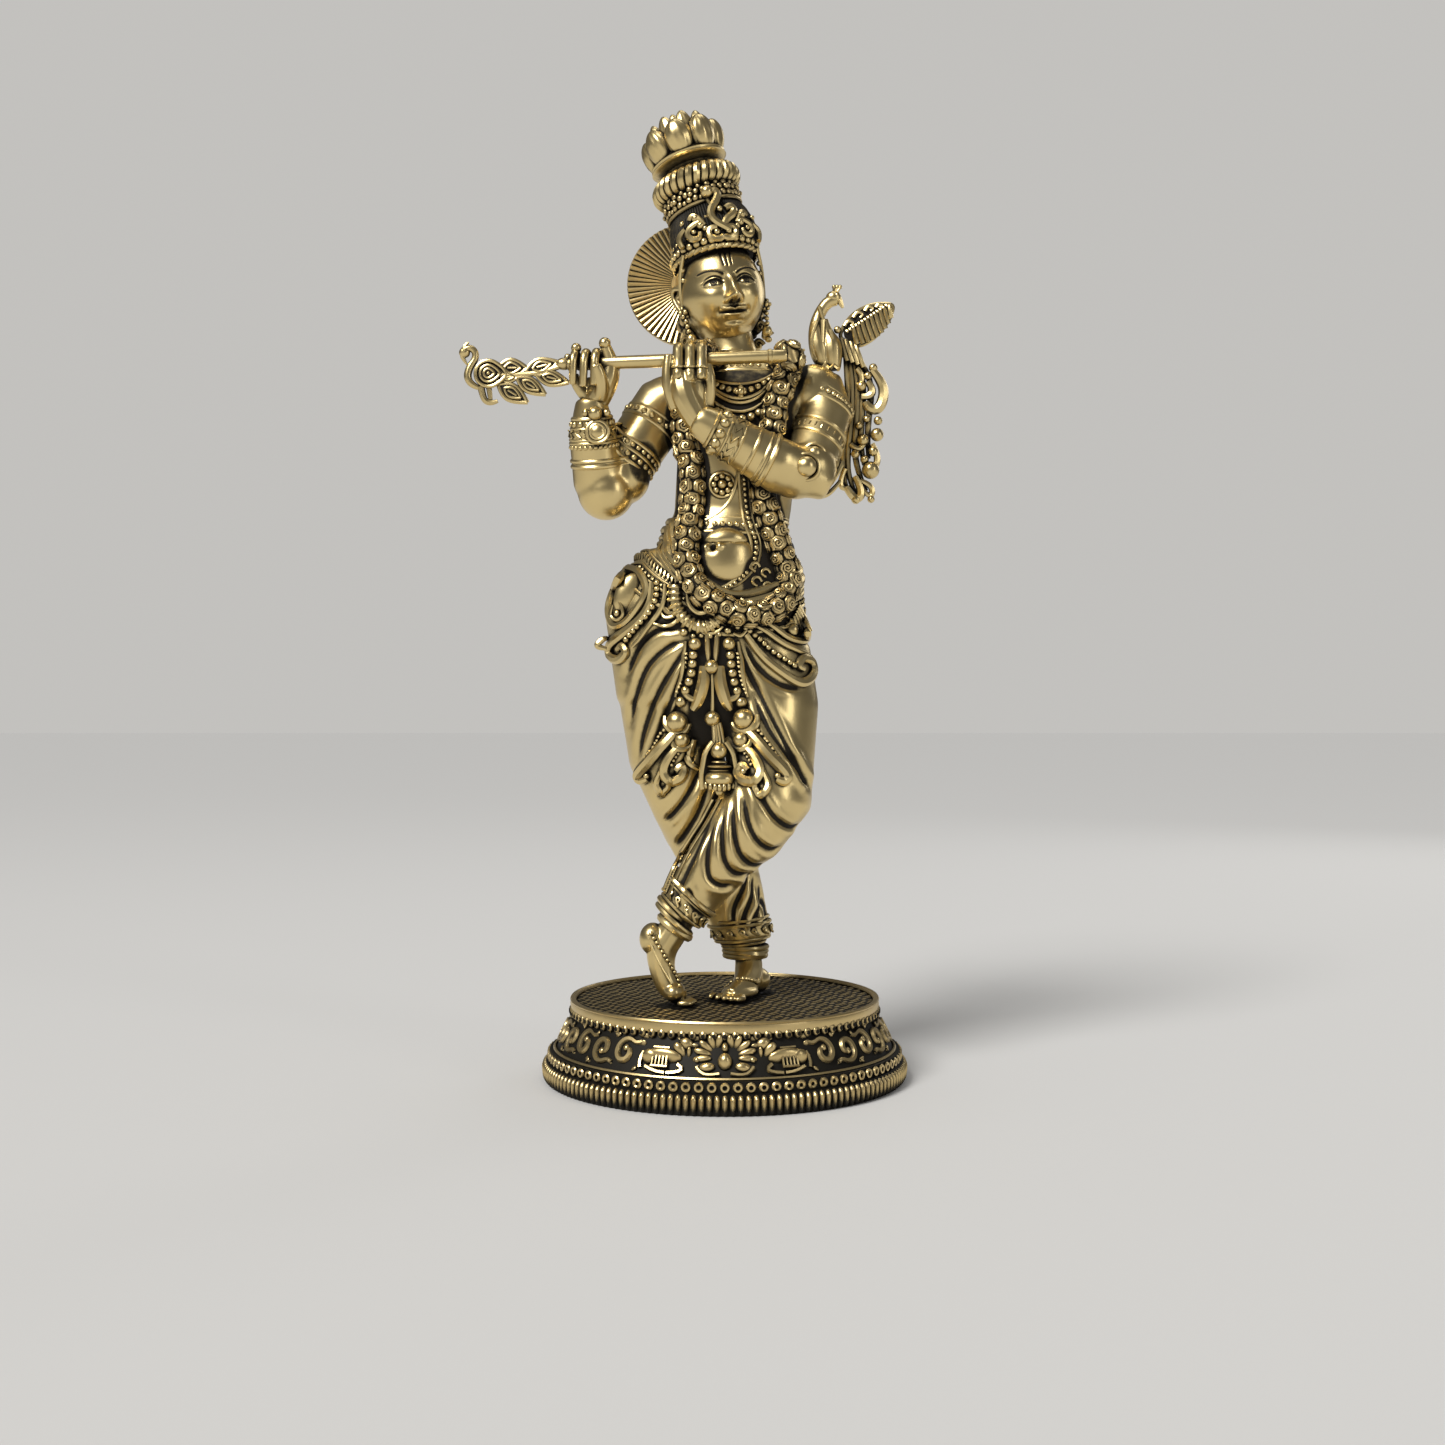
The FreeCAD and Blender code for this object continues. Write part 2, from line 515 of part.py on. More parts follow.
# ---------------------------------------------------------------- flute and hands
# The flute is a straight bar with a turned ring; the hands are bored through for it.
flute_axis = f"placement(right_forearm_heel_of_hand.Placement.Base + vector(Sizes.flute_start_x;" \
             f" Sizes.flute_start_y; Sizes.flute_start_z); rotation(0; 90 - Sizes.flute_rise; 0))"
flute = turned("flute_bar", [
    (0, 0),
    ("Sizes.flute_radius", 0),
    ("Sizes.flute_radius", "Sizes.flute_length - 2 * Sizes.flute_ring_width"),
    ("Sizes.flute_ring_radius", "Sizes.flute_length - 2 * Sizes.flute_ring_width"),
    ("Sizes.flute_ring_radius", "Sizes.flute_length - Sizes.flute_ring_width"),
    ("Sizes.flute_radius", "Sizes.flute_length - Sizes.flute_ring_width"),
    ("Sizes.flute_radius", "Sizes.flute_length"),
    (0, "Sizes.flute_length")])
bind(flute, Placement=flute_axis)
finger_holes = [solid("Cylinder", f"finger_hole_{i}",
                      f"{at('flute_bar', z=f'Sizes.first_hole + {i} * Sizes.hole_pitch')} * "
                      f"{place(lean=90)}", Radius="Sizes.hole_radius", Height="Sizes.flute_radius * 2")
                for i in range(3)]
node("flute", cut(flute, garland, *finger_holes))


finger_root = at("right_forearm_heel_of_hand", x="Sizes.finger_x", y="Sizes.finger_y",
                 z="Sizes.finger_z")
palm = limb("right_hand", "right_forearm_heel_of_hand", [
    ("heel", 0.0, 0.0, -0.6, 0, 2.6, 2.5),
    ("palm", 1.0, -0.2, 3.4, 4, 3.2, 2.2),
    ("knuckles", 0.2, -0.4, 3.4, 4, 3.0, 1.5),
    ("tips", -0.3, -0.6, 3.6, 4, 2.2, 0.9)])
fingers = [leaf(f"right_finger_{i}",
                f"{finger_root} * {place(x=f'{i} * Sizes.finger_pitch')}", 7.6, 1.7, 1.7, 4)
           for i in range(4)]
grip = solid("Cylinder", "grip_bore", at("flute_bar"),
             Radius="Sizes.flute_radius + Sizes.grip_clearance", Height="Sizes.flute_length")
node("right_hand", cut(fuse("right_hand_casting", [palm] + fingers), right_forearm, grip))
left_palm = limb("left_hand", "left_forearm_heel_of_hand", [
    ("heel", 0.2, 0.0, -0.3, -50, 2.6, 2.5),
    ("palm", -1.9, 0.1, 2.6, -16, 3.3, 2.0),
    ("knuckles", -0.4, 0.2, 3.6, 0, 3.5, 1.7),
    ("tips", 0.2, 0.4, 5.0, 0, 3.2, 1.3)])
left_thumb = leaf("left_thumb", at("left_hand_knuckles", x="Sizes.thumb_x", y="Sizes.thumb_y"),
                  6.4, 2.0, 1.8, 24)
node("left_hand", cut(fuse("left_hand_casting", [left_palm, left_thumb]), left_forearm, grip,
                      left_bracelet))

# The finial at the flute's blown end is a flat peacock with a fan of tail feathers.
finial_root = f"{at('flute_bar')} * {place(lean=-90)}"
finial = [leaf("finial_stem", f"{finial_root} * {place(x=-2.2)}", 6.4, 2.0, 1.6, 90)]
for row, (along, spread, tilt) in enumerate([(-4.6, 1.3, 18), (-7.6, 2.0, 26), (-10.6, 2.2, 34)]):
    for side in (-1, 1):
        finial.append(leaf(f"finial_feather_{row}_{'up' if side > 0 else 'down'}",
                           f"{finial_root} * {place(x=along, z=side * spread)}",
                           5.4, 2.6, 1.6, 90 + side * tilt))
finial += [leaf("finial_body", f"{finial_root} * {place(x=-14.0, z=-0.8)}", 5.4, 5.0, 2.2),
           leaf("finial_neck", f"{finial_root} * {place(x=-17.0, z=1.4)}", 5.2, 1.8, 1.7, -32),
           leaf("finial_head", f"{finial_root} * {place(x=-18.2, z=3.6)}", 2.4, 1.9, 1.9, 40),
           leaf("finial_legs", f"{finial_root} * {place(x=-14.6, z=-4.0)}", 3.4, 1.2, 1.3, 12)]
node("flute_finial", cut(fuse("finial_casting", finial), flute))

# ---------------------------------------------------------------- hair, diadem and crown
hair_bun = limb("hair_bun", "head_jaw", [
    ("nape", 1.6, 6.6, -3.4, -8, 2.4, 1.9),
    ("fullest", -0.4, 0.9, 3.4, -8, 4.6, 3.6),
    ("parting", -1.0, -1.5, 4.6, -8, 2.6, 2.0)])
node("hair_bun", cut(hair_bun, head, torso))
diadem = band("diadem", "head_brow", 2.8, 0.8, up=3.6, roll=-6)
node("diadem", cut(diadem, head))
topknot = limb("topknot", "head_crown", [
    ("hair_line", 0.5, 0.0, -1.6, -12, 7.3, 7.2),
    ("dome", -1.2, 0.1, 4.2, -13, 6.5, 6.4),
    ("ring_seat", -2.2, 0.3, 6.2, -13, 5.2, 5.1),
    ("lotus_neck", -1.1, 0.4, 3.7, -13, 5.0, 4.9)])
node("topknot", cut(topknot, head, diadem))
crest = leaf("diadem_crest", spot("crest_seat", "head_brow", 0, 7.4, 0.6), 8.4, 4.6, 2.0)
node("diadem_crest", cut(crest, head, diadem, topknot))
earrings = [leaf(f"{side}_earring", spot(f"{side}_earring_seat", "head_jaw", angle, 1.2, 0.8),
                 5.6, 2.4, 2.4) for side, angle in (("right", -70), ("left", 74))]
node("earrings", group("earring_pair", [cut(ring, head, torso) for ring in earrings]))

rope_ring = turned("rope_ring", [
    ("Sizes.rope_inner_radius", "-Sizes.rope_height / 2"),
    ("Sizes.rope_outer_radius - Sizes.rope_round", "-Sizes.rope_height / 2"),
    ("Sizes.rope_outer_radius", 0),
    ("Sizes.rope_outer_radius - Sizes.rope_round", "Sizes.rope_height / 2"),
    ("Sizes.rope_inner_radius", "Sizes.rope_height / 2")])
grooved(rope_ring, [
    ("Sizes.rope_outer_radius - Sizes.rope_groove", 0),
    ("Sizes.rope_outer_radius + Sizes.rope_groove", "Sizes.rope_groove / 2"),
    ("Sizes.rope_outer_radius + Sizes.rope_groove", "-Sizes.rope_groove / 2")], "Sizes.rope_turns")
bind(rope_ring, Placement=at("topknot_ring_seat"))
node("rope_ring", cut(rope_ring, topknot))
lotus_dish = turned("lotus_dish", [
    (0, "-Sizes.dish_height"),
    ("Sizes.dish_foot_radius", "-Sizes.dish_height"),
    ("Sizes.dish_radius", 0),
    ("Sizes.dish_radius", "Sizes.dish_lip"),
    (0, "Sizes.dish_lip")])
bind(lotus_dish, Placement=at("topknot_lotus_neck"))
node("lotus_dish", cut(lotus_dish, topknot))


def petal(name, row, turn):
    """One petal: three six-sided sections that swell and close to a blunt tip."""
    rings = []
    for level, (out, up, fullness) in enumerate(((-0.9, 0.0, 0.7), (0.0, 0.5, 1.0), (0.2, 1.0, 0.3))):
        ring = doc.addObject("Part::RegularPolygon", f"{name}_{level}")
        ring.Polygon = 6
        lift = f"Sizes.dish_lip + {up} * Sizes.{row}_petal_height"
        bind(ring, Circumradius=f"{fullness} * Sizes.{row}_petal_radius",
             Placement=f"{at('lotus_dish', yaw=turn)} * "
                       f"{place(x=f'Sizes.{row}_ring_radius + {out}', z=lift)}")
        rings.append(ring)
    return loft(f"{name}_bud", rings)


petals = [petal(f"{row}_petal_{i}", row, f"{i} * 360 / {count}")
          for row, count in (("outer", 10), ("inner", 6)) for i in range(count)]
node("lotus_petals", fuse("lotus_crown", petals))

# A fluted sun disc stands behind the head.
halo = turned("halo_disc", [
    (0, "-Sizes.halo_thickness / 2"),
    ("Sizes.halo_radius", "-Sizes.halo_thickness / 2"),
    ("Sizes.halo_radius", "Sizes.halo_thickness / 2"),
    (0, "Sizes.halo_thickness / 2")])
grooved(halo, [
    ("Sizes.halo_radius - Sizes.halo_scallop", 0),
    ("Sizes.halo_radius + Sizes.halo_scallop", "Sizes.halo_scallop"),
    ("Sizes.halo_radius + Sizes.halo_scallop", "-Sizes.halo_scallop")], "Sizes.halo_rays")
bind(halo, Placement=f"placement(head_brow.Placement.Base + vector(Sizes.halo_x; Sizes.halo_y;"
                     f" Sizes.halo_z); rotation(0; Sizes.halo_lean; 0)) * {place(roll=90)}")
halo_boss = solid("Cylinder", "halo_boss", at("halo_disc"), Radius="Sizes.halo_boss_radius",
                  Height="Sizes.halo_boss_length")
node("halo_disc", cut(fuse("halo_casting", [halo, halo_boss]), head, topknot, diadem, hair_bun))

# ---------------------------------------------------------------- peacock on the left shoulder
peacock = limb("peacock", "left_upper_arm_shoulder", [
    ("feet", 2.6, 1.2, 4.0, 0, 1.5, 1.4),
    ("belly", 0.1, 0.0, 3.8, -4, 3.0, 2.6),
    ("back", -0.2, 0.0, 3.4, -12, 2.4, 2.1),
    ("neck", -0.9, -0.4, 3.2, -8, 1.1, 1.0),
    ("throat", 0.1, -0.4, 3.0, 12, 1.0, 0.9),
    ("crown", 0.6, -0.3, 1.9, 40, 1.3, 1.2),
    ("beak", 1.9, -0.2, 0.5, 78, 0.4, 0.3)])
node("peacock_body", cut(peacock, left_upper_arm, torso))
wing = leaf("wing", at("peacock_belly", x="Sizes.wing_x", y="Sizes.wing_y", z="Sizes.wing_z"),
            11.6, 5.2, 1.8, 56)
node("peacock_wing", cut(wing, peacock))
tail = limb("tail", "peacock_belly", [
    ("root", 2.6, 1.2, -1.0, -8, 2.3, 1.4),
    ("coverts", 1.7, 0.6, -6.0, -8, 3.2, 1.5),
    ("eyes", 0.5, 0.0, -7.0, -2, 3.0, 1.5),
    ("fringe", -0.3, 0.0, -7.0, 0, 3.3, 1.4),
    ("tip", 0.2, 0.0, -5.0, 0, 1.2, 1.0)])
tail_holes = [solid("Cylinder", f"tail_hole_{station}",
                    f"{at(f'tail_{station}', y='-Sizes.tail_hole_depth / 2', x=offset)} * {place(roll=-90)}",
                    Radius="Sizes.tail_hole_radius", Height="Sizes.tail_hole_depth")
              for station, offset in (("coverts", -0.6), ("fringe", 0.6))]
node("peacock_tail", cut(tail, peacock, left_upper_arm, torso, *tail_holes))

# ---------------------------------------------------------------- checks and export
doc.recompute()
for thing in doc.Objects:
    if "Invalid" in thing.State or "Error" in thing.State:
        raise RuntimeError(f"{thing.Name} did not build: {thing.State}")

os.makedirs("parts", exist_ok=True)
for label, thing in parts.items():
    if thing.Shape.isNull() or not thing.Shape.isValid():
        raise RuntimeError(f"{label} has no valid shape")
    thing.Shape.exportStep(f"parts/{label}.step")
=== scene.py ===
"""A cast brass flute player on a round pedestal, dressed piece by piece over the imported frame."""
from math import atan2, cos, pi, radians, sin, tau

import bmesh
import bpy
import numpy as np
from mathutils import Matrix, Vector
from mathutils.bvhtree import BVHTree


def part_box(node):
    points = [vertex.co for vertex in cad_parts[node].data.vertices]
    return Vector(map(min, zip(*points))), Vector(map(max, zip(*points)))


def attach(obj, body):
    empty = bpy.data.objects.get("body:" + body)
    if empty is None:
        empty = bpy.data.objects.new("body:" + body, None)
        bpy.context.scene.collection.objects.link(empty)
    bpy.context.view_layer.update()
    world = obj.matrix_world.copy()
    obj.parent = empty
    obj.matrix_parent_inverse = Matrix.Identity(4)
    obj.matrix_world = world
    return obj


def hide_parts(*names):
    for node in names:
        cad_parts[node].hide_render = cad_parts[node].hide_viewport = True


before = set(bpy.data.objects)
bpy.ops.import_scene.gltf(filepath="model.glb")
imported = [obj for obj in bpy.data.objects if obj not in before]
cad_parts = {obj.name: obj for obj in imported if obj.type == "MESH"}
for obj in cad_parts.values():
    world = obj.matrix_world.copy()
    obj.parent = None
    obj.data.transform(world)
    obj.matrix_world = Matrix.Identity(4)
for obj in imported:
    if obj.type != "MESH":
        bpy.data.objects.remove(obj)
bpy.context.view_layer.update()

# ---------------------------------------------------------------- brass
# Every piece is one cast alloy with a dark antique wash that is rubbed off wherever a
# cloth can reach.  The wash stays where the casting shades itself; two finishes differ in
# how much of it is left.  The same dark colour is also painted on as shade, in crooks and under ornaments,
# through a vertex attribute.


def add_node(tree, kind, inputs, **settings):
    """A shader node; each input takes a plain value or another node's output."""
    made = tree.nodes.new("ShaderNode" + kind)
    for setting, value in settings.items():
        setattr(made, setting, value)
    for socket, value in inputs.items():
        if isinstance(value, bpy.types.NodeSocket):
            tree.links.new(value, made.inputs[socket])
        else:
            made.inputs[socket].default_value = value
    return made


def cast_brass(name, metal, wash_and_shade, reach, left_on, roughness):
    """Brass whose wash gathers within reach (mm) of an inner corner."""
    made = bpy.data.materials.new(name)
    made.use_nodes = True
    tree = made.node_tree
    place_on = add_node(tree, "TexCoord", {}).outputs["Object"]
    mottle = add_node(tree, "TexNoise", {"Vector": place_on, "Scale": 900, "Detail": 4}).outputs["Fac"]
    cloudy = add_node(tree, "TexNoise", {"Vector": place_on, "Scale": 120}).outputs["Fac"]
    shade = add_node(tree, "AmbientOcclusion", {"Distance": reach / 1000}, samples=12).outputs["AO"]
    # This vertex attribute darkens the colour: patina in chased lines, and painted shade laid in crooks and
    # under ornaments.
    chased_and_shaded = add_node(tree, "Attribute", {}, attribute_name="wash_and_shade").outputs["Fac"]
    worn = add_node(tree, "Math", {0: mottle, 1: 0.22, 2: shade}, operation="MULTIPLY_ADD").outputs[0]
    patina_and_shade = add_node(tree, "Math", {0: chased_and_shaded, 1: -0.75, 2: worn}, operation="MULTIPLY_ADD").outputs[0]
    bare = add_node(tree, "MapRange", {"Value": patina_and_shade, "From Min": 0.62 + left_on,
                                       "From Max": 0.96 + left_on},
                    interpolation_type="SMOOTHSTEP").outputs["Result"]
    dull = (*(0.72 * part for part in metal), 1)
    tone = add_node(tree, "Mix", {"Factor": cloudy, "A": dull, "B": (*metal, 1)}, data_type="RGBA")
    colour = add_node(tree, "Mix", {"Factor": bare, "A": (*wash_and_shade, 1), "B": tone.outputs["Result"]},
                      data_type="RGBA")
    gloss = add_node(tree, "MapRange", {"Value": bare, "To Min": 0.62, "To Max": roughness})
    metallic = add_node(tree, "MapRange", {"Value": bare, "To Min": 0.55, "To Max": 1.0})
    grain = add_node(tree, "Bump", {"Strength": 0.25, "Distance": 0.0001, "Height": mottle})
    shader = tree.nodes["Principled BSDF"]
    for socket, source in (("Base Color", colour), ("Roughness", gloss), ("Metallic", metallic),
                           ("Normal", grain)):
        output = "Normal" if source is grain else "Result"
        tree.links.new(source.outputs[output], shader.inputs[socket])
    return made


WORN = cast_brass("rubbed", (0.90, 0.70, 0.33), (0.014, 0.010, 0.005), 2.2, 0.0, 0.31)
ANTIQUED = cast_brass("darkened", (0.84, 0.64, 0.30), (0.010, 0.008, 0.004), 2.4, 0.06, 0.34)


def place(x, y, z):
    """A place or a way, in millimetres."""
    return Vector((x, y, z))


def box_of(node):
    """A CAD node's lowest corner, highest corner and middle, in millimetres."""
    low, high = (corner * 1000 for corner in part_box(node))
    return low, high, (low + high) / 2


def finished(name, bm, nodes, material=WORN, crease=38):
    """Turns a bmesh in millimetres into a piece that stands for CAD nodes."""
    bmesh.ops.remove_doubles(bm, verts=bm.verts, dist=1e-5)
    for face in bm.faces:
        face.smooth = True
    for edge in bm.edges:
        edge.smooth = len(edge.link_faces) != 2 or edge.calc_face_angle(0) < radians(crease)
    bmesh.ops.scale(bm, vec=(0.001,) * 3, verts=bm.verts)
    mesh = bpy.data.meshes.new(name)
    bm.to_mesh(mesh)
    bm.free()
    mesh.materials.append(material)
    made = bpy.data.objects.new(name, mesh)
    bpy.context.scene.collection.objects.link(made)
    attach(made, "root")
    if nodes:
        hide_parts(*nodes)
    return made


def turns(count):
    """Equal steps of a full turn."""
    return [tau * k / count for k in range(count)]


def blank():
    """An empty bmesh whose vertices can hold the wash."""
    bm = bmesh.new()
    bm.verts.layers.float.new("wash_and_shade")
    return bm


def darken(bm, verts, amount=1.0):
    """Leaves the dark wash on some vertices."""
    layer = bm.verts.layers.float["wash_and_shade"]
    for vert in verts:
        vert[layer] = amount


def ball(bm, centre, size, turn=None, detail=2):
    """A round boss; size is a radius or three half axes, turn a 3x3 matrix."""
    axes = Vector((size,) * 3) if isinstance(size, (int, float)) else Vector(size)
    spread = Matrix.Diagonal((*axes, 1))
    matrix = Matrix.Translation(centre) @ (turn.to_4x4() if turn else Matrix()) @ spread
    return bmesh.ops.create_icosphere(bm, subdivisions=detail, radius=1, matrix=matrix)["verts"]


def wires(bm, paths, radius, closed=False, sides=1, steps=3):
    """Round wires along smooth curves; a path is a list of points or (point, fullness)."""
    curve = bpy.data.curves.new("wire", "CURVE")
    curve.dimensions = "3D"
    curve.bevel_depth = radius
    curve.bevel_resolution = sides
    curve.use_fill_caps = True
    for path in paths:
        spline = curve.splines.new("NURBS")
        spline.points.add(len(path) - 1)
        for knot, spot in zip(spline.points, path):
            centre, fullness = spot if isinstance(spot, tuple) and len(spot) == 2 else (spot, 1)
            knot.co = (*centre, 1)
            knot.radius = fullness
        spline.order_u = min(3, len(path))
        spline.use_endpoint_u = not closed
        spline.use_cyclic_u = closed
        spline.resolution_u = steps
    holder = bpy.data.objects.new("wire", curve)
    mesh = bpy.data.meshes.new_from_object(holder)
    bm.from_mesh(mesh)
    bpy.data.meshes.remove(mesh)
    bpy.data.objects.remove(holder)
    bpy.data.curves.remove(curve)


def hoop(bm, middle, radius, tube, push=0.0):
    """A ring of wire that faces the front, pushed back from its middle."""
    wires(bm, [[middle + place(radius * cos(a), push, radius * sin(a)) for a in turns(12)]],
          tube, closed=True,
          sides=2)

# ---------------------------------------------------------------- pedestal
# One hollow round casting.  Its foot is a ring of reeds, then a chain of small rings, a
# tapered wall with a low-relief frieze, a scalloped rim and a woven deck.
PEDESTAL_TOP = box_of("pedestal_casting")[1]
FOOT = PEDESTAL_TOP.x
DECK = PEDESTAL_TOP.z - 0.3
profile = [(25.3, DECK - 2.4), (29.0, 0.0), (FOOT - 0.9, 0.0), (FOOT - 0.7, 3.6), (32.2, 3.8),
           (32.2, 5.7), (31.0, 5.8), (27.5, 12.6), (28.3, 12.9), (28.5, 13.9), (28.2, DECK + 0.3),
           (27.5, DECK + 0.3), (27.4, DECK)]
pedestal = blank()
outline = [pedestal.verts.new((radius, 0, height)) for radius, height in profile]
edges = [pedestal.edges.new(pair) for pair in zip(outline, outline[1:])]
bmesh.ops.spin(pedestal, geom=outline + edges, axis=(0, 0, 1), cent=(0, 0, 0), dvec=(0, 0, 0),
               angle=tau, steps=180, use_merge=True)
bmesh.ops.recalc_face_normals(pedestal, faces=pedestal.faces)
ceiling = [e for e in pedestal.edges if e.is_boundary and e.verts[0].co.z < DECK - 2]
bmesh.ops.contextual_create(pedestal, geom=ceiling)
darken(pedestal, [v for v in pedestal.verts if 3.5 < v.co.z < 12.7 and v.co.xy.length > 27])


def around(angle, radius, height):
    """A place round the pedestal; angle 0 faces the front."""
    return place(radius * sin(angle), -radius * cos(angle), height)


def upright(angle, lean=0.0):
    """Axes at a place round the pedestal: across, outward, up the wall."""
    return Matrix.Rotation(angle, 3, "Z") @ Matrix.Rotation(lean, 3, "X")


REEDS = 158
for angle in turns(REEDS):
    axes = upright(angle, 0.10)
    for vert in bmesh.ops.create_uvsphere(pedestal, u_segments=8, v_segments=6, radius=1)["verts"]:
        x, y, z = vert.co
        full = ((1 - z ** 4) / max(1 - z * z, 1e-4)) ** 0.5 if abs(z) < 0.999 else 1.0
        vert.co = around(angle, FOOT - 0.95, 1.85) + axes @ place(0.62 * x * full, 1.0 * y * full, 1.8 * z)
RINGS = 93
RING_RADIUS, CHAIN_HEIGHT = 0.68, 4.72
small_rings = [[around(angle + RING_RADIUS * cos(a) / 32, 32.4, CHAIN_HEIGHT + RING_RADIUS * sin(a))
                for a in turns(6)] for angle in turns(RINGS)]
wires(pedestal, small_rings, 0.30, closed=True, sides=1, steps=2)
wires(pedestal, [[around(a, radius, height) for a in turns(48)]
                 for radius, height in ((31.4, 5.9), (28.3, DECK + 0.2))],
      0.3, closed=True, sides=1, steps=2)
DROPS = 96
for angle in turns(DROPS):
    ball(pedestal, around(angle, 28.15, 12.6), (0.86, 0.55, 0.98), upright(angle), 1)
    darken(pedestal, ball(pedestal, around(angle, 28.68, 12.55), (0.36, 0.12, 0.40), upright(angle), 1))

WALL_LOW, WALL_HIGH = (31.0, 5.8), (27.5, 12.6)
WALL_MEAN = 29.5
WALL_LEAN = atan2(WALL_LOW[0] - WALL_HIGH[0], WALL_HIGH[1] - WALL_LOW[1])


def on_wall(angle, across, up, lift=0.15):
    """A point of the frieze: millimetres across and up from a place on the wall's lower edge."""
    share = up / (WALL_HIGH[1] - WALL_LOW[1])
    radius = WALL_LOW[0] + (WALL_HIGH[0] - WALL_LOW[0]) * share + lift
    return around(angle + across / WALL_MEAN, radius, WALL_LOW[1] + up)


def wall_ball(angle, across, up, size, spin=0.0, detail=2):
    """A flattened boss on the frieze, half sunk; size is half width, half height, rise."""
    turn = upright(angle + across / WALL_MEAN, WALL_LEAN * 0.6) @ Matrix.Rotation(spin, 3, "Y")
    ball(pedestal, on_wall(angle, across, up, 0.0), (size[0], size[2], size[1]), turn, detail)


def vine(angle, flip, up):
    """One volute of the running scroll with its leaf buds; up is 1 or -1 by turns."""
    def level(z):
        return 3.35 + up * z

    curl = [(-3.0, -1.9)] + [(r * cos(a), r * sin(a))
                             for a, r in ((-2.5 + 0.66 * k, 2.42 - 0.17 * k) for k in range(12))]
    wires(pedestal, [[(on_wall(angle, flip * x, level(z), 0.15), 0.7 + 0.5 * sin(pi * k / 12))
                      for k, (x, z) in enumerate(curl)]], 0.52, sides=1, steps=3)
    wall_ball(angle, flip * curl[-1][0], level(curl[-1][1]), (0.75, 0.75, 0.75), 0.0, 1)
    for across, z, spin in ((-2.5, 2.5, -0.7), (2.6, -2.4, -0.7), (2.7, 1.9, 0.8)):
        wall_ball(angle, across * flip, level(z), (0.95, 0.45, 0.5), flip * up * spin, 1)


def kneeling_cow(angle, flip):
    """A calf lying down with its head up, towards the middle, under a ribbed saddle cloth."""
    wall_ball(angle, -0.3 * flip, 3.1, (3.5, 1.7, 0.85), detail=3)
    wall_ball(angle, -2.4 * flip, 2.8, (1.7, 1.7, 0.95), detail=3)
    wall_ball(angle, 2.7 * flip, 4.2, (1.0, 1.7, 0.8), -0.5 * flip, 3)
    wall_ball(angle, 3.7 * flip, 5.3, (1.35, 1.15, 0.95), 0.5 * flip, 3)
    wall_ball(angle, 2.7 * flip, 6.0, (0.9, 0.36, 0.6), 0.5 * flip, 2)
    wall_ball(angle, 4.3 * flip, 3.9, (0.42, 1.3, 0.5), 0.1 * flip, 2)
    darken(pedestal, ball(pedestal, on_wall(angle, 3.9 * flip, 5.6, 0.92), 0.2, None, 1))
    wires(pedestal, [[on_wall(angle, x * flip, z, 0.35) for x, z in path] for path in (
        [(2.6, 2.2), (3.8, 1.6), (2.6, 0.9), (0.9, 0.8)],
        [(-3.0, 1.6), (-1.4, 0.8), (0.6, 0.8)],
        [(-3.8, 3.8), (-4.5, 2.8), (-4.0, 1.3)])], 0.42, steps=2)
    for k in range(5):
        wires(pedestal, [[on_wall(angle, (-1.7 + 0.62 * k) * flip, z, out) for z, out in
                          ((4.7, 0.55), (3.9, 0.95), (2.9, 1.0), (2.0, 0.85))]], 0.2, steps=2)
    for z in (4.75, 1.9):
        wires(pedestal, [[on_wall(angle, x * flip, z, 0.85) for x in (-1.9, -0.5, 1.0)]], 0.24, steps=2)


def fanned_bird(angle):
    """A displaying peacock between two more: round bodies and fans of eyed feathers."""
    for side in (-1, 1):
        for k in range(5):
            a = side * radians(-8 + 26 * k)
            wall_ball(angle, side * 1.4 + 2.5 * sin(a), 3.3 + 2.2 * cos(a), (0.72, 1.75, 0.55), a, 2)
            wall_ball(angle, side * 1.4 + 3.3 * sin(a), 3.3 + 2.9 * cos(a), (0.66, 0.6, 0.85), a, 1)
        wall_ball(angle, side * 3.1, 1.7, (1.6, 1.0, 0.8), side * 0.3)
        wires(pedestal, [[on_wall(angle, x * side, z, 0.5) for x, z in
                          ((0.9, 1.0), (2.4, 0.7), (4.0, 1.0), (4.7, 2.0))]], 0.35, steps=2)
    wall_ball(angle, 0.0, 2.6, (1.25, 1.7, 1.25), detail=3)
    wall_ball(angle, 0.0, 4.9, (0.6, 0.95, 1.1))


COW_ANGLE, VINE_START, VINE_PITCH, VINES = 0.355, 0.615, 0.1815, 14
fanned_bird(0.0)
for flip in (-1, 1):
    kneeling_cow(-flip * COW_ANGLE, flip)
    for step in range(VINES):
        vine(-flip * (VINE_START + VINE_PITCH * step), -flip, 1 if step % 2 else -1)
    for across, wide in ((5.3, 1.3), (15.0, 1.0)):
        wall_ball(0.0, flip * across, 6.0, (wide, 0.75, 0.28), 0.0, 2)
        wall_ball(0.0, flip * across, 4.9, (wide * 0.7, 0.7, 0.24), 0.0, 2)

# The deck is woven in relief: square cells of strips that run across and along by turns.
WEAVE, DECK_RADIUS = 2.5, 27.45
deck = bmesh.new()
bmesh.ops.create_grid(deck, x_segments=170, y_segments=170, size=DECK_RADIUS)
bmesh.ops.delete(deck, geom=[v for v in deck.verts if v.co.xy.length > DECK_RADIUS], context="VERTS")
woven = deck.verts.layers.float.new("wash_and_shade")
for vert in deck.verts:
    x, y = (Matrix.Rotation(0.6, 2) @ vert.co.xy) / WEAVE
    over = (int(x // 1) + int(y // 1)) % 2
    ridge = abs(sin(pi * 2 * (x if over else y))) ** 0.7 * sin(pi * ((y if over else x) % 1)) ** 0.5
    vert.co.z = DECK - 0.52 + 0.5 * ridge
    vert[woven] = 1.0 - 0.85 * ridge
finished("pedestal", pedestal, ["pedestal_casting"], ANTIQUED, crease=55)
finished("woven_deck", deck, [], ANTIQUED)

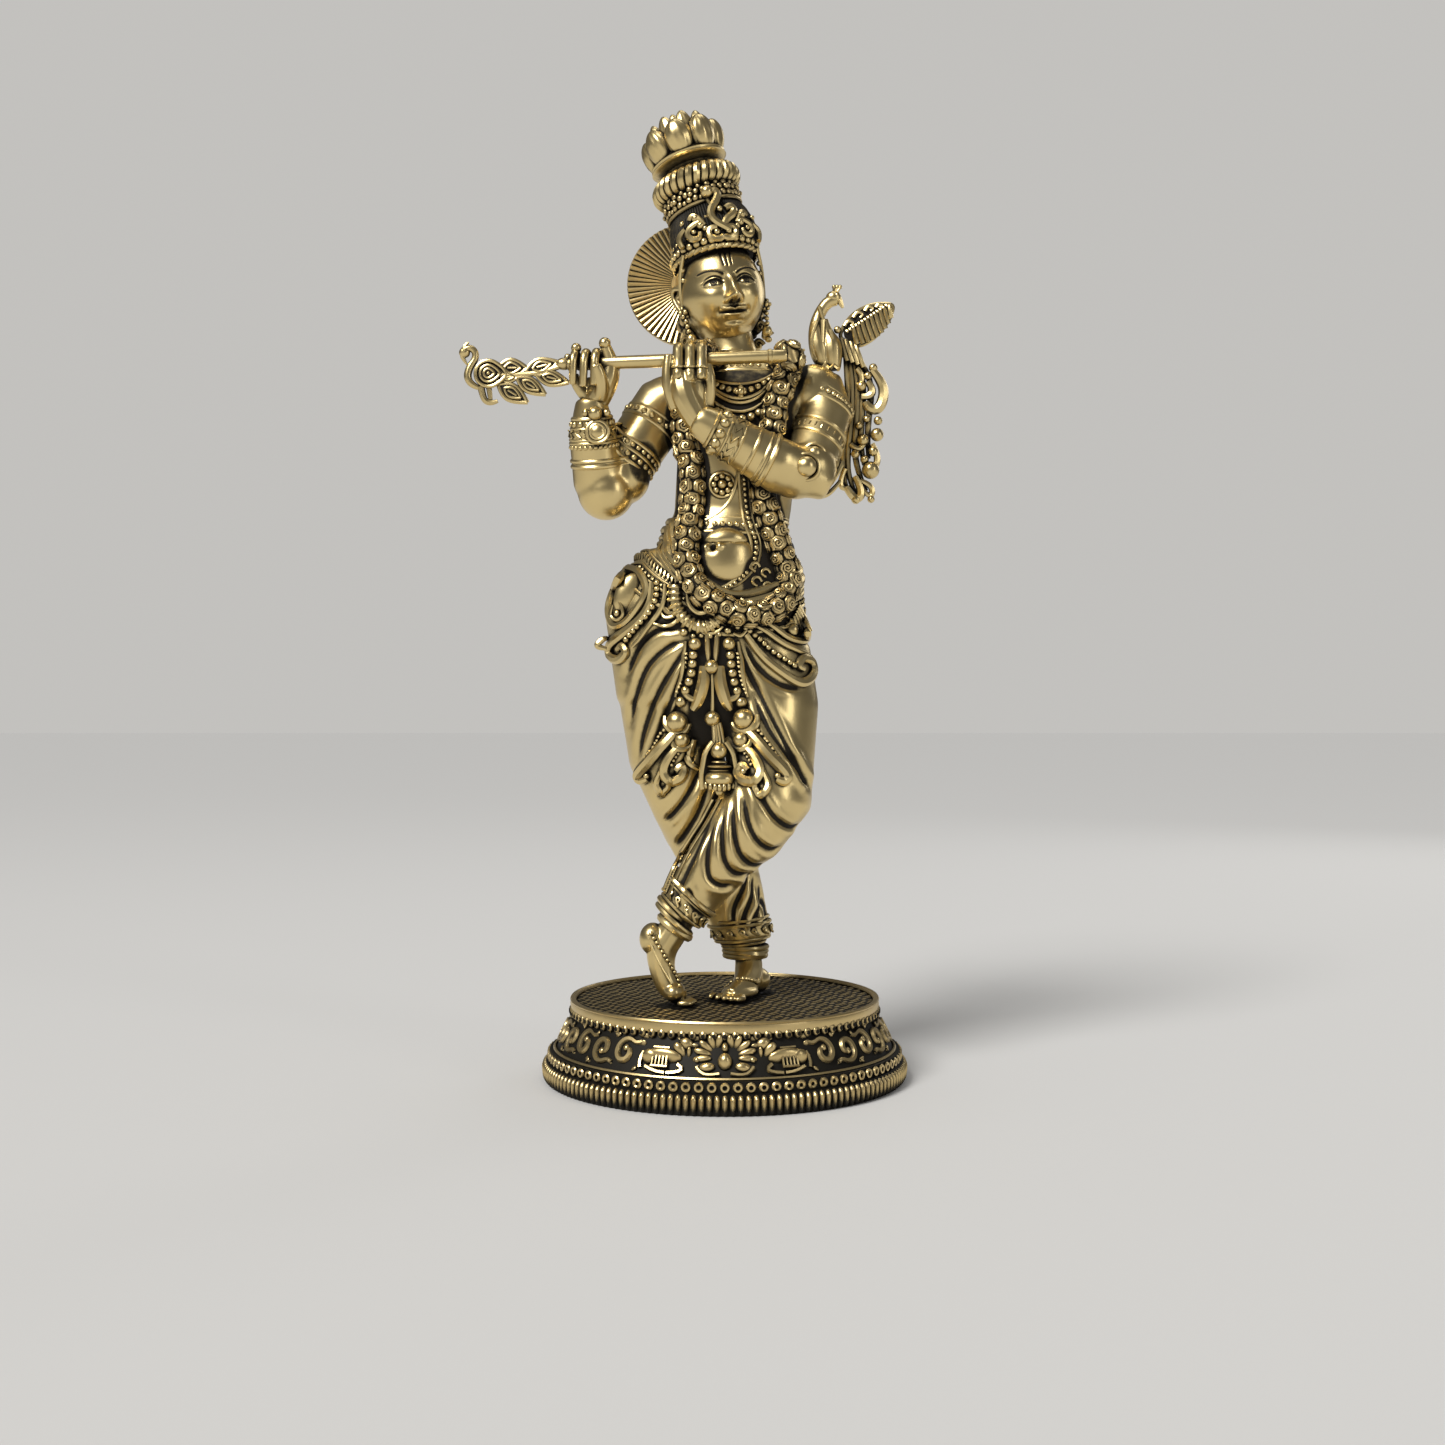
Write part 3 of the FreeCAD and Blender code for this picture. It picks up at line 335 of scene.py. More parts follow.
# ---------------------------------------------------------------- body castings
# The dhoti with both legs, the chest with both arms, and the feet are solid castings.  They
# are filed smooth, and the cloth's folds are chased in afterwards with a round tool.


def holder_of(bm, name):
    """An object in the scene that lends a bmesh to modifiers."""
    mesh = bpy.data.meshes.new(name)
    bm.to_mesh(mesh)
    bm.free()
    holder = bpy.data.objects.new(name, mesh)
    bpy.context.scene.collection.objects.link(holder)
    return holder


def melted(bm, grain, rounds, swell=0.0):
    """Everything in a bmesh melted into one closed skin, filed smooth and swelled back."""
    holder = holder_of(bm, "melt")
    skin = holder.modifiers.new("skin", "REMESH")
    skin.mode = "VOXEL"
    skin.voxel_size = grain
    filed = holder.modifiers.new("filed", "SMOOTH")
    filed.iterations = rounds
    filed.factor = 0.5
    swelled = holder.modifiers.new("swelled", "DISPLACE")
    swelled.strength = swell
    swelled.mid_level = 0
    scene_now = bpy.context.evaluated_depsgraph_get()
    mesh = bpy.data.meshes.new_from_object(holder.evaluated_get(scene_now))
    bpy.data.objects.remove(holder)
    made = bmesh.new()
    made.from_mesh(mesh)
    bpy.data.meshes.remove(mesh)
    return made


def solids(*nodes):
    """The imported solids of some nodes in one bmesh, in millimetres."""
    bm = bmesh.new()
    for node in nodes:
        bm.from_mesh(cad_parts[node].data)
    bmesh.ops.scale(bm, vec=(1000,) * 3, verts=bm.verts)
    bmesh.ops.remove_doubles(bm, verts=bm.verts, dist=0.002)
    return bm


def nearest(points, line):
    """Distance of each point to a polyline, and how far along the line its foot lies (0 to 1)."""
    line = np.asarray(line, float)
    best = np.full(len(points), 1e9)
    along = np.zeros(len(points))
    for i, (a, b) in enumerate(zip(line, line[1:])):
        step = b - a
        share = np.clip(((points - a) @ step) / (step @ step), 0, 1)
        far = np.linalg.norm(points - a - share[:, None] * step, axis=1)
        closer = far < best
        best[closer] = far[closer]
        along[closer] = ((i + share) / (len(line) - 1))[closer]
    return best, along


def curved(line, steps=6):
    """A given line eased into a smooth one."""
    line = [Vector(p) for p in line]
    ends = [line[0] * 2 - line[1]] + line + [line[-1] * 2 - line[-2]]
    eased = []
    for a, b, c, d in zip(ends, ends[1:], ends[2:], ends[3:]):
        for k in range(steps):
            t = k / steps
            eased.append(0.5 * ((2 * b) + (c - a) * t + (2 * a - 5 * b + 4 * c - d) * t * t
                                + (3 * b - a - 3 * c + d) * t ** 3))
    return eased + [line[-1]]


def chase(bm, lines, width, depth, side=-1):
    """Cuts folds into the front (side -1) or back (+1): a narrow valley with a full roll beside it."""
    bm.normal_update()
    spots = np.array([v.co for v in bm.verts])
    facing = np.clip(np.array([side * v.normal.y for v in bm.verts]) * 2.2 + 0.35, 0, 1)
    drop = np.zeros(len(spots))
    stain = np.zeros(len(spots))
    for line in lines:
        far, along = nearest(spots[:, [0, 2]], curved(line))
        fade = np.clip(np.minimum(along, 1 - along) * 5 + 0.12, 0, 1)
        drop -= fade * np.exp(-(far / width) ** 2)
        drop += 0.40 * fade * np.exp(-((far - 2.4 * width) / (1.4 * width)) ** 2)
        stain = np.maximum(stain, fade * np.exp(-(far / (0.62 * width)) ** 2))
    layer = bm.verts.layers.float.get("wash_and_shade") or bm.verts.layers.float.new("wash_and_shade")
    for vert, move, dark in zip(bm.verts, drop * depth * facing, stain * facing):
        vert.co += vert.normal * float(move)
        vert[layer] = max(vert[layer], float(dark))


def fill_out(bm, x, z, radius, rise):
    """Raises a round belly-like swell on the front, with the wash left round its edge."""
    bm.normal_update()
    layer = bm.verts.layers.float.get("wash_and_shade") or bm.verts.layers.float.new("wash_and_shade")
    for vert in bm.verts:
        far = ((vert.co.x - x) ** 2 + (vert.co.z - z) ** 2) ** 0.5 / radius
        if far < 1.25 and vert.normal.y < 0:
            vert.co.y -= rise * max(0.0, 1 - far * far) ** 0.6
            vert[layer] = max(vert[layer], 0.8 * max(0.0, 1 - abs(far - 1.05) / 0.14))


FRONT_FOLDS = [
    # over the standing thigh, from the buckle to the hip
    [(-8.0, 82.0), (-11.3, 82.3), (-14.6, 80.2), (-16.6, 77.0), (-17.8, 73.6)],
    [(-6.9, 80.2), (-10.3, 78.9), (-14.0, 75.4), (-16.4, 69.4), (-17.2, 65.0)],
    [(-6.8, 78.7), (-9.4, 75.0), (-12.3, 70.1), (-14.8, 63.5), (-15.8, 58.5)],
    [(-6.6, 76.8), (-8.4, 72.0), (-10.8, 66.2), (-13.4, 59.4)],
    [(-6.6, 74.0), (-8.0, 69.5), (-9.8, 65.0)],
    # from the tassel over the standing knee
    [(-5.0, 62.0), (-7.6, 57.5), (-10.4, 53.5), (-12.6, 51.6)],
    [(-3.6, 58.5), (-6.3, 53.0), (-9.0, 49.2), (-11.3, 47.2)],
    [(-2.6, 54.7), (-4.6, 49.4), (-7.2, 45.0), (-9.2, 42.6)],
    [(-2.4, 51.0), (-4.4, 46.4), (-7.0, 41.6), (-8.6, 39.4)],
    # down the crossing thigh
    [(2.0, 80.4), (3.6, 76.0), (6.1, 70.8), (9.0, 65.2), (12.0, 59.6), (16.2, 52.2)],
    [(3.4, 79.8), (6.0, 75.4), (9.6, 72.6), (13.6, 71.4)],
    [(4.6, 71.6), (7.4, 65.0), (10.0, 61.2), (13.0, 57.4)],
    [(11.4, 60.2), (13.6, 56.4), (15.4, 54.2)],
    # round the crossing knee and calf
    [(3.5, 57.4), (6.6, 52.0), (9.0, 48.6), (11.8, 46.7), (14.0, 47.2)],
    [(3.0, 54.0), (4.0, 48.4), (5.6, 44.8), (8.2, 42.8), (10.6, 43.4)],
    [(1.6, 52.6), (1.5, 47.0), (2.6, 42.4), (5.0, 40.0), (8.0, 39.9)],
    [(0.2, 51.4), (-0.5, 45.6), (0.0, 41.0), (2.0, 38.6), (5.0, 38.6)],
    [(-1.0, 50.0), (-3.0, 42.8), (-2.8, 38.2), (-0.6, 36.4), (2.0, 36.6)],
    [(-1.8, 49.0), (-5.2, 42.0), (-7.4, 37.6), (-9.2, 33.4)],
    [(-6.6, 36.4), (-5.4, 32.6), (-2.8, 30.6)],
    # the hem of the standing leg
    [(4.6, 39.0), (3.6, 35.0), (1.8, 31.0), (1.6, 27.6)],
    [(5.2, 37.4), (5.0, 33.0), (3.6, 29.4), (3.2, 27.0)],
    [(6.2, 35.6), (6.6, 31.8), (5.4, 28.4), (5.2, 26.8)],
    [(7.0, 33.0), (7.8, 29.6), (7.4, 27.4)],
]
BACK_FOLDS = [[(x0 * 0.9, 83 - 3.5 * (k % 3)), (x0 * 1.1 + 0.6, 74 - 2 * (k % 2)), (x0 * 1.25 + 0.9, 66),
               (x0 * 1.2, 57 + 2 * (k % 3)), (x0 * 1.05 - 0.6, 49 + 4 * (k % 2))]
              for k, x0 in enumerate((-13.0, -9.8, -6.4, -3.0, 0.6, 3.4, 6.9, 9.6))]
BACK_FOLDS += [[(-15.5, 56), (-13.0, 48 - d), (-8.5, 43 - d), (-4.5, 41 - d)] for d in (0, 3, 6)]
BACK_FOLDS += [[(-5.0, 40 - d), (-2.4, 35.5 - d), (1.5, 33.0 - d)] for d in (0, 3.2, 6.4)]
BACK_FOLDS += [[(15.5, 58 - d), (12.0, 52 - d), (7.0, 49.5 - d)] for d in (0, 3.4, 6.8)]

# Where the garland will hang; the dark wash is painted on the body under it along this line as the
# garland's shadow.
ROPE_LINE = [(-4.2, 131.6), (-6.4, 126.8), (-7.4, 120.6), (-7.0, 115.6), (-5.8, 111.0), (-5.9, 104.8),
             (-6.6, 99.6),
             (-6.9, 94.6), (-5.2, 90.0), (-2.0, 87.0), (2.5, 85.0), (7.2, 85.2), (10.8, 88.0), (11.5, 92.6),
             (9.7, 97.4), (8.0, 102.4), (6.8, 107.2), (7.4, 112.8), (8.6, 118.4), (9.2, 123.2),
             (10.8, 127.2),
             (12.2, 131.4)]
MIDLINE = -2.3


def paint_shade_patches(bm, places, line, behind=-40.0, reach=3.6):
    """Paints shade with the dark wash in soft oval places (x, z, wide, tall, amount) of the front, and
    under a line.

    Only metal farther back than behind keeps it.
    """
    bm.normal_update()
    spots = np.array([v.co for v in bm.verts])
    facing = (np.array([v.normal.y for v in bm.verts]) < 0.1) & (spots[:, 1] > behind)
    dark = np.zeros(len(spots))
    for x, z, wide, tall, amount in places:
        far = np.hypot((spots[:, 0] - x) / wide, (spots[:, 2] - z) / tall)
        dark = np.maximum(dark, amount * np.clip((1 - far) * 4, 0, 1))
    far, _ = nearest(spots[:, [0, 2]], curved(line))
    dark = np.maximum(dark, 0.8 * np.clip((reach - far) * 1.2, 0, 1))
    layer = bm.verts.layers.float.get("wash_and_shade") or bm.verts.layers.float.new("wash_and_shade")
    for vert, amount in zip(bm.verts, dark * facing):
        vert[layer] = max(vert[layer], float(amount))


GRAIN, FILINGS = 0.34, 26
dhoti = melted(solids("dhoti_casting"), GRAIN, FILINGS, 0.30)
chase(dhoti, FRONT_FOLDS, width=0.52, depth=0.62)
chase(dhoti, BACK_FOLDS, width=0.62, depth=0.55, side=1)
bmesh.ops.smooth_vert(dhoti, verts=dhoti.verts, factor=0.35, use_axis_x=True, use_axis_y=True,
                      use_axis_z=True)

rough = solids("torso", "right_arm", "left_arm")
for spot, size in (((-21.6, -5.4, 107.4), 4.9), ((-18.6, -3.8, 110.2), 4.7), ((-22.6, -5.8, 111.5), 4.6),
                   ((15.4, -9.0, 111.0), 4.6), ((12.6, -11.0, 110.2), 4.6), ((16.2, -0.2, 126.0), 5.4),
                   ((-10.6, -0.6, 124.0), 5.2)):
    ball(rough, spot, size, None, 4)
upper_body = melted(rough, GRAIN, FILINGS, 0.28)
SKIN = [BVHTree.FromBMesh(dhoti), BVHTree.FromBMesh(upper_body)]
NAVEL = [(-2.2, 97.5), (-2.1, 96.2)]
for casting in (upper_body, dhoti):
    fill_out(casting, 0.2, 95.6, radius=4.9, rise=1.5)
    chase(casting, [NAVEL], width=0.5, depth=1.3)
# Painted shade: dark ovals between the legs, under the buckle and sashes, at the belly's side, on the chest
# under the necklaces, in the elbow's crook and under the pendant, and a band under the garland.
SHADED_BELLY_SIDE = (6.6, 91.4, 4.0, 5.4, 0.8)
paint_shade_patches(dhoti, [(MIDLINE, 77.0, 4.4, 9.0, 0.8), (MIDLINE, 67.0, 4.6, 8.0, 0.8),
                  (MIDLINE + 0.6, 59.0, 3.6, 6.0, 0.75),
                  (-9.0, 86.0, 5.5, 4.4, 0.7), (6.0, 84.0, 9.0, 3.4, 0.7), SHADED_BELLY_SIDE], ROPE_LINE)
paint_shade_patches(upper_body, [(2.9, 124.6, 10.0, 6.4, 0.6), (-14.6, 112.6, 3.4, 4.6, 0.6),
                       (7.6, 93.0, 4.0, 7.0, 0.8),
                       (-0.4, 108.3, 2.9, 2.9, 0.7)], ROPE_LINE, -9.8)
paint_shade_patches(upper_body, [SHADED_BELLY_SIDE], ROPE_LINE[8:14])
finished("dhoti", dhoti, ["dhoti_casting"], crease=60)
finished("chest_and_arms", upper_body, ["torso", "right_arm", "left_arm"], crease=60)


FEET = []


def foot(name, node, joints, toes, sole):
    """A bare foot: swelling joints from ankle to toe, then five rounded toes."""
    bm = bmesh.new()
    wires(bm, [[(Vector(spot), fat) for *spot, fat in joints]], 1.0, sides=4, steps=8)
    *ankle, ankle_radius = joints[0]
    ball(bm, ankle, ankle_radius, detail=3)
    for spot, size in toes:
        ball(bm, spot, size, sole, 3)
    skin = melted(bm, 0.2, 8, 0.05)
    FEET.append(BVHTree.FromBMesh(skin))
    finished(name, skin, [node], crease=60)


heading = Matrix.Rotation(radians(-28), 3, "Z")
foot("foot_standing", "standing_foot",
     [(4.2, 6.2, 27.0, 2.6), (4.4, 5.6, 22.0, 2.4), (4.6, 3.6, 18.6, 2.7), (4.0, 0.2, 16.9, 2.4),
      (2.4, -3.0, 16.0, 1.9), (1.0, -5.4, 15.6, 1.4)],
     [(place(6.0, 5.2, 16.9), (2.4, 3.2, 2.4)), (place(2.8, -1.8, 15.8), (3.1, 4.4, 1.3))]
     + [(place(0.4 - 1.25 * k, -5.6 + 0.8 * k + 0.15 * k * k, 15.3), (0.72 - 0.05 * k, 1.5, 0.72))
        for k in range(-2, 3)], heading)
foot("foot_crossing", "crossing_foot",
     [(-7.6, -7.9, 31.0, 2.8), (-9.4, -7.9, 27.6, 2.7), (-11.6, -8.0, 24.6, 2.8), (-11.3, -8.2, 20.4, 2.2),
      (-9.8, -8.5, 17.0, 2.1), (-7.6, -8.8, 15.5, 1.2)],
     [(place(-13.0, -8.0, 26.4), (2.4, 2.5, 2.9)), (place(-9.2, -8.5, 17.0), (2.0, 3.1, 1.9))]
     + [(place(-6.6 - 0.25 * abs(k), -8.9 + 1.2 * k, 15.2), (1.7 - 0.12 * abs(k), 0.62, 0.62))
        for k in range(-2, 3)], Matrix.Identity(3))


def front(x, z, lift=0.0, trees=None):
    """The place on the body's front at x, z, lifted out along the skin."""
    hits = [tree.ray_cast(place(x, -70, z), place(0, 1, 0)) for tree in trees or SKIN]
    hits = [hit for hit in hits if hit[0]]
    if not hits:
        return place(x, -8 - lift, z)
    spot, normal = min(hits, key=lambda hit: hit[0].y)[:2]
    return spot + normal * lift

# ---------------------------------------------------------------- head
# The head and neck are one casting, turned a little to the figure's left and tilted.  The
# face is chased after casting: calm, plain features in even thirds, almond eyes, closed lips.
HEAD = (Matrix.Translation((-0.6, 0.3, 144.3)) @ Matrix.Rotation(radians(-9), 4, "Y")
        @ Matrix.Rotation(radians(13), 4, "Z"))


def swell(x, z, cx, cz, wide, tall, rise):
    """A soft round rise on the face at cx, cz."""
    return rise * np.exp(-((x - cx) / wide) ** 2 - ((z - cz) / tall) ** 2)


def eased(value, low, high):
    """0 below low, 1 above high, smooth between."""
    share = np.clip((value - low) / (high - low), 0, 1)
    return share * share * (3 - 2 * share)


def face_relief(x, z):
    """How far the features stand out from the plain oval at x across and z up, and the wash in them."""
    side = np.abs(x)
    rise = swell(side, z, 4.2, -2.2, 2.3, 2.4, 0.75) + swell(side, z, 0, -7.3, 1.9, 1.5, 1.15)
    rise += swell(side, z, 0, -6.1, 1.7, 0.45, -0.40) + swell(side, z, 6.6, 3.2, 1.5, 2.4, -0.35)
    rise += swell(side, z, 2.9, 2.35, 2.3, 0.8, 0.30)
    rise += swell(side, z, 3.05, 0.95, 1.95, 1.15, -1.05) + swell(side, z, 1.45, 0.9, 0.7, 1.0, -0.45)
    rise += swell(side, z, 3.1, 0.75, 1.45, 0.86, 1.05)
    across = np.clip(1 - ((side - 3.1) / 1.8) ** 2, 0, 1)
    upper, lower = 0.62 + 0.72 * across, 0.62 - 0.50 * across
    near_eye = np.exp(-((side - 3.1) / 1.75) ** 6)
    rise += near_eye * 0.36 * np.exp(-((z - upper - 0.24) / 0.2) ** 2)
    rise += near_eye * 0.20 * np.exp(-((z - lower + 0.14) / 0.16) ** 2)
    lash = near_eye * np.exp(-((z - upper) / 0.25) ** 2)
    under = near_eye * np.exp(-((z - lower) / 0.16) ** 2) * 0.8
    fold = near_eye * np.exp(-((z - upper - 0.62) / 0.15) ** 2)
    ring = np.abs(np.hypot(side - 3.1, z - 0.78) - 0.52)
    iris = np.exp(-(ring / 0.13) ** 2) * (z < upper - 0.05)
    pupil = np.exp(-((np.hypot(side - 3.1, z - 0.78)) / 0.32) ** 2)
    brow_line = 2.05 + 0.95 * np.sin(np.clip((side - 0.9) / 4.9, 0, 1) * 2.4)
    brow_ends = eased(side, 0.9, 1.4) * (1 - eased(side, 5.2, 6.0))
    brow = np.exp(-((z - brow_line) / 0.26) ** 2) * brow_ends
    rise += 0.24 * brow - 0.20 * lash - 0.14 * fold - 0.16 * iris - 0.34 * pupil
    height = eased(z, -3.35, -2.85) * (1 - eased(z, 0.2, 3.0))
    slope = 0.55 + 1.95 * np.clip((1.9 - z) / 4.3, 0, 1) ** 1.15
    rise += height * slope * np.exp(-(x / (0.82 + 0.10 * np.clip(-z, 0, 3))) ** 2)
    rise += swell(side, z, 0, -2.35, 0.95, 0.85, 0.75) * eased(z, -3.4, -2.8)
    rise += swell(side, z, 1.12, -2.55, 0.55, 0.60, 0.85)
    nostril = swell(side, z, 0.72, -3.10, 0.30, 0.20, 0.9)
    rise += -0.45 * nostril + swell(side, z, 0, -3.75, 0.32, 0.5, -0.18)
    mouth = -4.75 + 0.055 * x * x
    full = np.clip(1 - (side / 2.55) ** 2, 0, 1) ** 0.6
    bow = 0.10 * np.exp(-((side - 0.62) / 0.4) ** 2) - 0.10 * np.exp(-(x / 0.3) ** 2)
    rise += full * 0.85 * np.exp(-((z - mouth - 0.46 - bow) / 0.42) ** 2)
    rise += np.clip(1 - (side / 2.1) ** 2, 0, 1) ** 0.6 * 0.95 * np.exp(-((z - mouth + 0.52) / 0.44) ** 2)
    parting = np.clip(1 - (side / 2.75) ** 2, 0, 1) ** 0.5 * np.exp(-((z - mouth) / 0.21) ** 2)
    rise += -0.42 * parting + swell(side, z, 2.7, -4.35, 0.45, 0.5, -0.35)
    mark = np.exp(-((np.abs(side - 0.75 - 0.06 * (z - 3.4)) / 0.17) ** 2)) * eased(z, 3.4, 3.9)
    mark += np.exp(-((x / 0.17) ** 2)) * eased(z, 3.2, 3.6)
    rise -= 0.16 * mark
    wash_and_shade = np.clip(lash + 0.8 * under + 0.7 * fold + 0.7 * iris + pupil + 0.85 * brow + nostril
                   + parting + mark, 0, 1)
    return rise, wash_and_shade


head = bmesh.new()
bmesh.ops.create_icosphere(head, subdivisions=7, radius=1)
spots = np.array([v.co for v in head.verts])
turn = np.arccos(np.clip(-spots[:, 1], -1, 1))
closer = turn - 0.42 * np.sin(turn) * (1 + np.cos(turn)) / 2
ring_share = np.sin(closer) / np.maximum(np.sin(turn), 1e-6)
spots = np.stack([spots[:, 0] * ring_share, -np.cos(closer), spots[:, 2] * ring_share], 1)
below = np.clip(-spots[:, 2], 0, 1)
spots *= np.array([8.0, 8.4, 1.0])
spots[:, 2] *= np.where(spots[:, 2] > 0, 10.4, 9.3)
spots[:, 0] *= 1 - 0.20 * below ** 1.6
spots[:, 1] += 0.9 * below ** 2
in_front = eased(-spots[:, 1], 1.0, 4.0)
rise, stain = face_relief(spots[:, 0], spots[:, 2])
spots[:, 1] -= rise * in_front
wash_and_shade = head.verts.layers.float.new("wash_and_shade")
for vert, spot, dark in zip(head.verts, spots, stain * in_front):
    vert.co = HEAD @ Vector(spot)
    vert[wash_and_shade] = float(dark)
neck_foot, neck_top = place(2.5, 0.9, 129.0), HEAD @ place(0.3, 1.4, -5.0)
wires(head, [[(neck_foot, 1.30), (neck_foot.lerp(neck_top, 0.35), 1.02),
              (neck_foot.lerp(neck_top, 0.7), 0.98),
              (neck_top, 1.0)]], 4.5, sides=10, steps=10)
for height in (0.30, 0.50):
    middle = neck_foot.lerp(neck_top, height)
    wires(head, [[middle + place(4.62 * cos(a), 4.62 * sin(a), 0.5 * sin(a))
                  for a in turns(16)]], 0.28, closed=True, sides=2, steps=4)
for side in (-1, 1):
    wires(head, [[HEAD @ place(side * x, y, z) for x, y, z in (
        (7.3, 0.2, 2.2), (8.2, 1.6, 3.0), (8.5, 2.8, 1.8), (8.2, 2.4, 0.0), (7.6, 1.2, -2.0),
        (7.2, 0.4, -2.6),
        (7.2, -0.1, -1.4))], [HEAD @ place(side * x, y, z) for x, y, z in (
            (7.4, 0.5, 1.0), (7.9, 1.4, 1.2), (7.9, 1.6, 0.0), (7.4, 0.7, -1.0))]], 0.55, sides=2, steps=4)
finished("head_and_neck", head, ["head"], crease=80)

# ---------------------------------------------------------------- hair and crown
# The hair is combed up under a jewelled diadem into a bound topknot.  A roped ring and a
# lotus dish full of petals sit on it, and a ribbed disc stands behind the head.
CROWN_FOOT, CROWN_TOP = place(-2.2, 0.9, 155.5), place(-6.9, 1.7, 170.0)
CROWN = Matrix.Translation(CROWN_FOOT) @ (
    (CROWN_TOP - CROWN_FOOT).to_track_quat("Z", "Y").to_matrix().to_4x4())


def crown(angle, radius, height):
    """A place round the crown's axis; angle 0 faces the front."""
    return CROWN @ around(angle, radius, height)


def crown_axes(angle, lean=0.0):
    """Axes there: across, outward, up."""
    return CROWN.to_3x3() @ upright(angle, lean)


def turned_piece(bm, profile, steps, shape=lambda angle, radius: radius):
    """A ring or cap turned round the crown's axis; shape may rib its radius."""
    rows = [[bm.verts.new(crown(a, shape(a, radius), height)) for a in turns(steps)]
            for radius, height in profile]
    for low, high in zip(rows, rows[1:]):
        for k in range(steps):
            bm.faces.new((low[k - 1], low[k], high[k], high[k - 1]))
    for row, flip in ((rows[0], True), (rows[-1], False)):
        bm.faces.new(row[::-1] if flip else row)


# The hair is a combed cap on the skull, then the topknot's bound stem.
hair = blank()
turned_piece(hair, [(7.3, -4.6), (8.1, -3.6), (8.25, -1.6), (8.1, 0.6), (7.5, 2.8), (6.5, 4.8), (6.1, 6.4),
                    (6.4, 8.0), (6.2, 9.0), (4.9, 12.0), (4.7, 15.0)], 360,
             lambda a, r: r + 0.16 * (abs(sin(45 * a)) ** 0.7 - 0.5))
darken(hair, [vert for vert in hair.verts if vert.co.y < CROWN_FOOT.y - 1.5], amount=0.5)
for height, radius, tube in ((4.7, 6.95, 0.34), (8.3, 6.7, 0.34)):
    wires(hair, [[crown(a, radius, height) for a in turns(36)]], tube, closed=True, sides=2, steps=4)
FLORETS = 13
for angle in turns(FLORETS):
    tilt = crown_axes(angle)
    for spin in turns(5):
        ball(hair, crown(angle + 1.0 * sin(spin) / 6.6, 6.9, 6.5 + 1.0 * cos(spin)),
             (0.62, 0.5, 0.62), tilt, 2)
    ball(hair, crown(angle, 7.35, 6.5), 0.5)
    for up, size in ((5.5, 0.5), (7.6, 0.5)):
        ball(hair, crown(angle + pi / FLORETS, 6.85, up), size)
back_hair = bmesh.ops.create_icosphere(hair, subdivisions=6, radius=1)["verts"]
for vert in back_hair:
    x, y, z = vert.co
    lock = 1 + 0.022 * (abs(sin(13 * atan2(x, 0.35 + z) + 2.0 * y)) ** 0.7 - 0.5)
    vert.co = HEAD @ place(7.95 * x * lock, 1.75 + 8.1 * y * lock, 1.5 + 9.2 * z * lock)
finished("combed_hair", hair, ["topknot"], ANTIQUED)

# The hair's roll lies on the nape, and curls fall from it.
bun = bmesh.new()
LOW, HIGH, MIDDLE = box_of("hair_bun")
ball(bun, MIDDLE, (HIGH - LOW) * 0.5, detail=4)
for vert in bun.verts:
    out = vert.co - MIDDLE
    vert.co += out.normalized() * 0.28 * (abs(sin(4.2 * out.z + 1.4 * out.x)) - 0.5)
CURLS = [(7.9, 2.4, -1.0), (8.2, 1.6, -3.4), (7.9, 2.2, -5.8), (8.8, 1.6, -7.6), (7.0, 4.2, -6.6),
         (8.4, 3.8, -4.0), (7.6, 4.0, -8.8), (6.2, 5.2, -8.4)]
for side in (-1, 1):
    for x, y, z in CURLS:
        middle = place(side * (x - 0.9), y, z)
        wires(bun, [[(HEAD @ (middle + place(r * cos(a) * 0.9, -0.12 * a, r * sin(a))), 1.2 - 0.1 * k)
                     for k, (a, r) in enumerate((0.9 * k, 1.25 - 0.14 * k) for k in range(8))]],
              0.42, sides=2)
        ball(bun, HEAD @ (middle + place(0, 0.4, 0)), 0.9)
finished("nape_hair", bun, ["hair_bun"], ANTIQUED)

# The diadem is a fillet, two pearl rows and leaf scrolls, with a lyre-shaped crest in front.
DIADEM = HEAD @ Matrix.Translation((0, 0.4, 8.3))


def brow(angle, proud=0.0, up=0.0):
    """A place on the diadem's band; angle 0 is over the nose."""
    return DIADEM @ place((7.5 + proud) * sin(angle), -(8.0 + proud) * cos(angle),
                            up - 0.9 * (1 - cos(angle)))


diadem = bmesh.new()
for up, tube, proud in ((-0.75, 0.30, 0.0), (1.35, 0.30, -0.1), (2.6, 0.26, -0.35)):
    wires(diadem, [[brow(a, proud, up) for a in turns(40)]], tube, closed=True, sides=2, steps=3)
band = [[diadem.verts.new(brow(a, proud, up)) for a in turns(96)]
        for proud, up in ((-1.2, -0.9), (0.0, -0.8), (-0.1, 1.4), (-0.4, 2.7), (-1.6, 2.7))]
for low, high in zip(band, band[1:] + band[:1]):
    for k in range(96):
        diadem.faces.new((low[k - 1], low[k], high[k], high[k - 1]))
PEARLS = 34
for k in range(PEARLS):
    ball(diadem, brow(tau * (k + 0.5) / PEARLS, 0.30, 0.25), 0.74)
    ball(diadem, brow(tau * k / PEARLS, 0.05, 2.0), (0.42, 0.42, 0.42))
    locks = [brow(tau * (k + share) / PEARLS, 0.12 * sin(pi * share) + 0.1, -1.15 + 0.45 * share)
             for share in (-0.2, 0.2, 0.6, 1.0, 1.3)]
    wires(diadem, [list(zip(locks, (0.5, 1.0, 1.2, 1.0, 0.5)))], 0.42, sides=2, steps=3)
finished("diadem_band", diadem, ["diadem"])


crest = bmesh.new()


def crest_at(across, up, proud=0.0):
    """A place on the crest: across and up from its foot over the nose, leaning back with the hair."""
    return DIADEM @ place(across, -8.35 - proud + 0.055 * across * across + 0.16 * up, up)


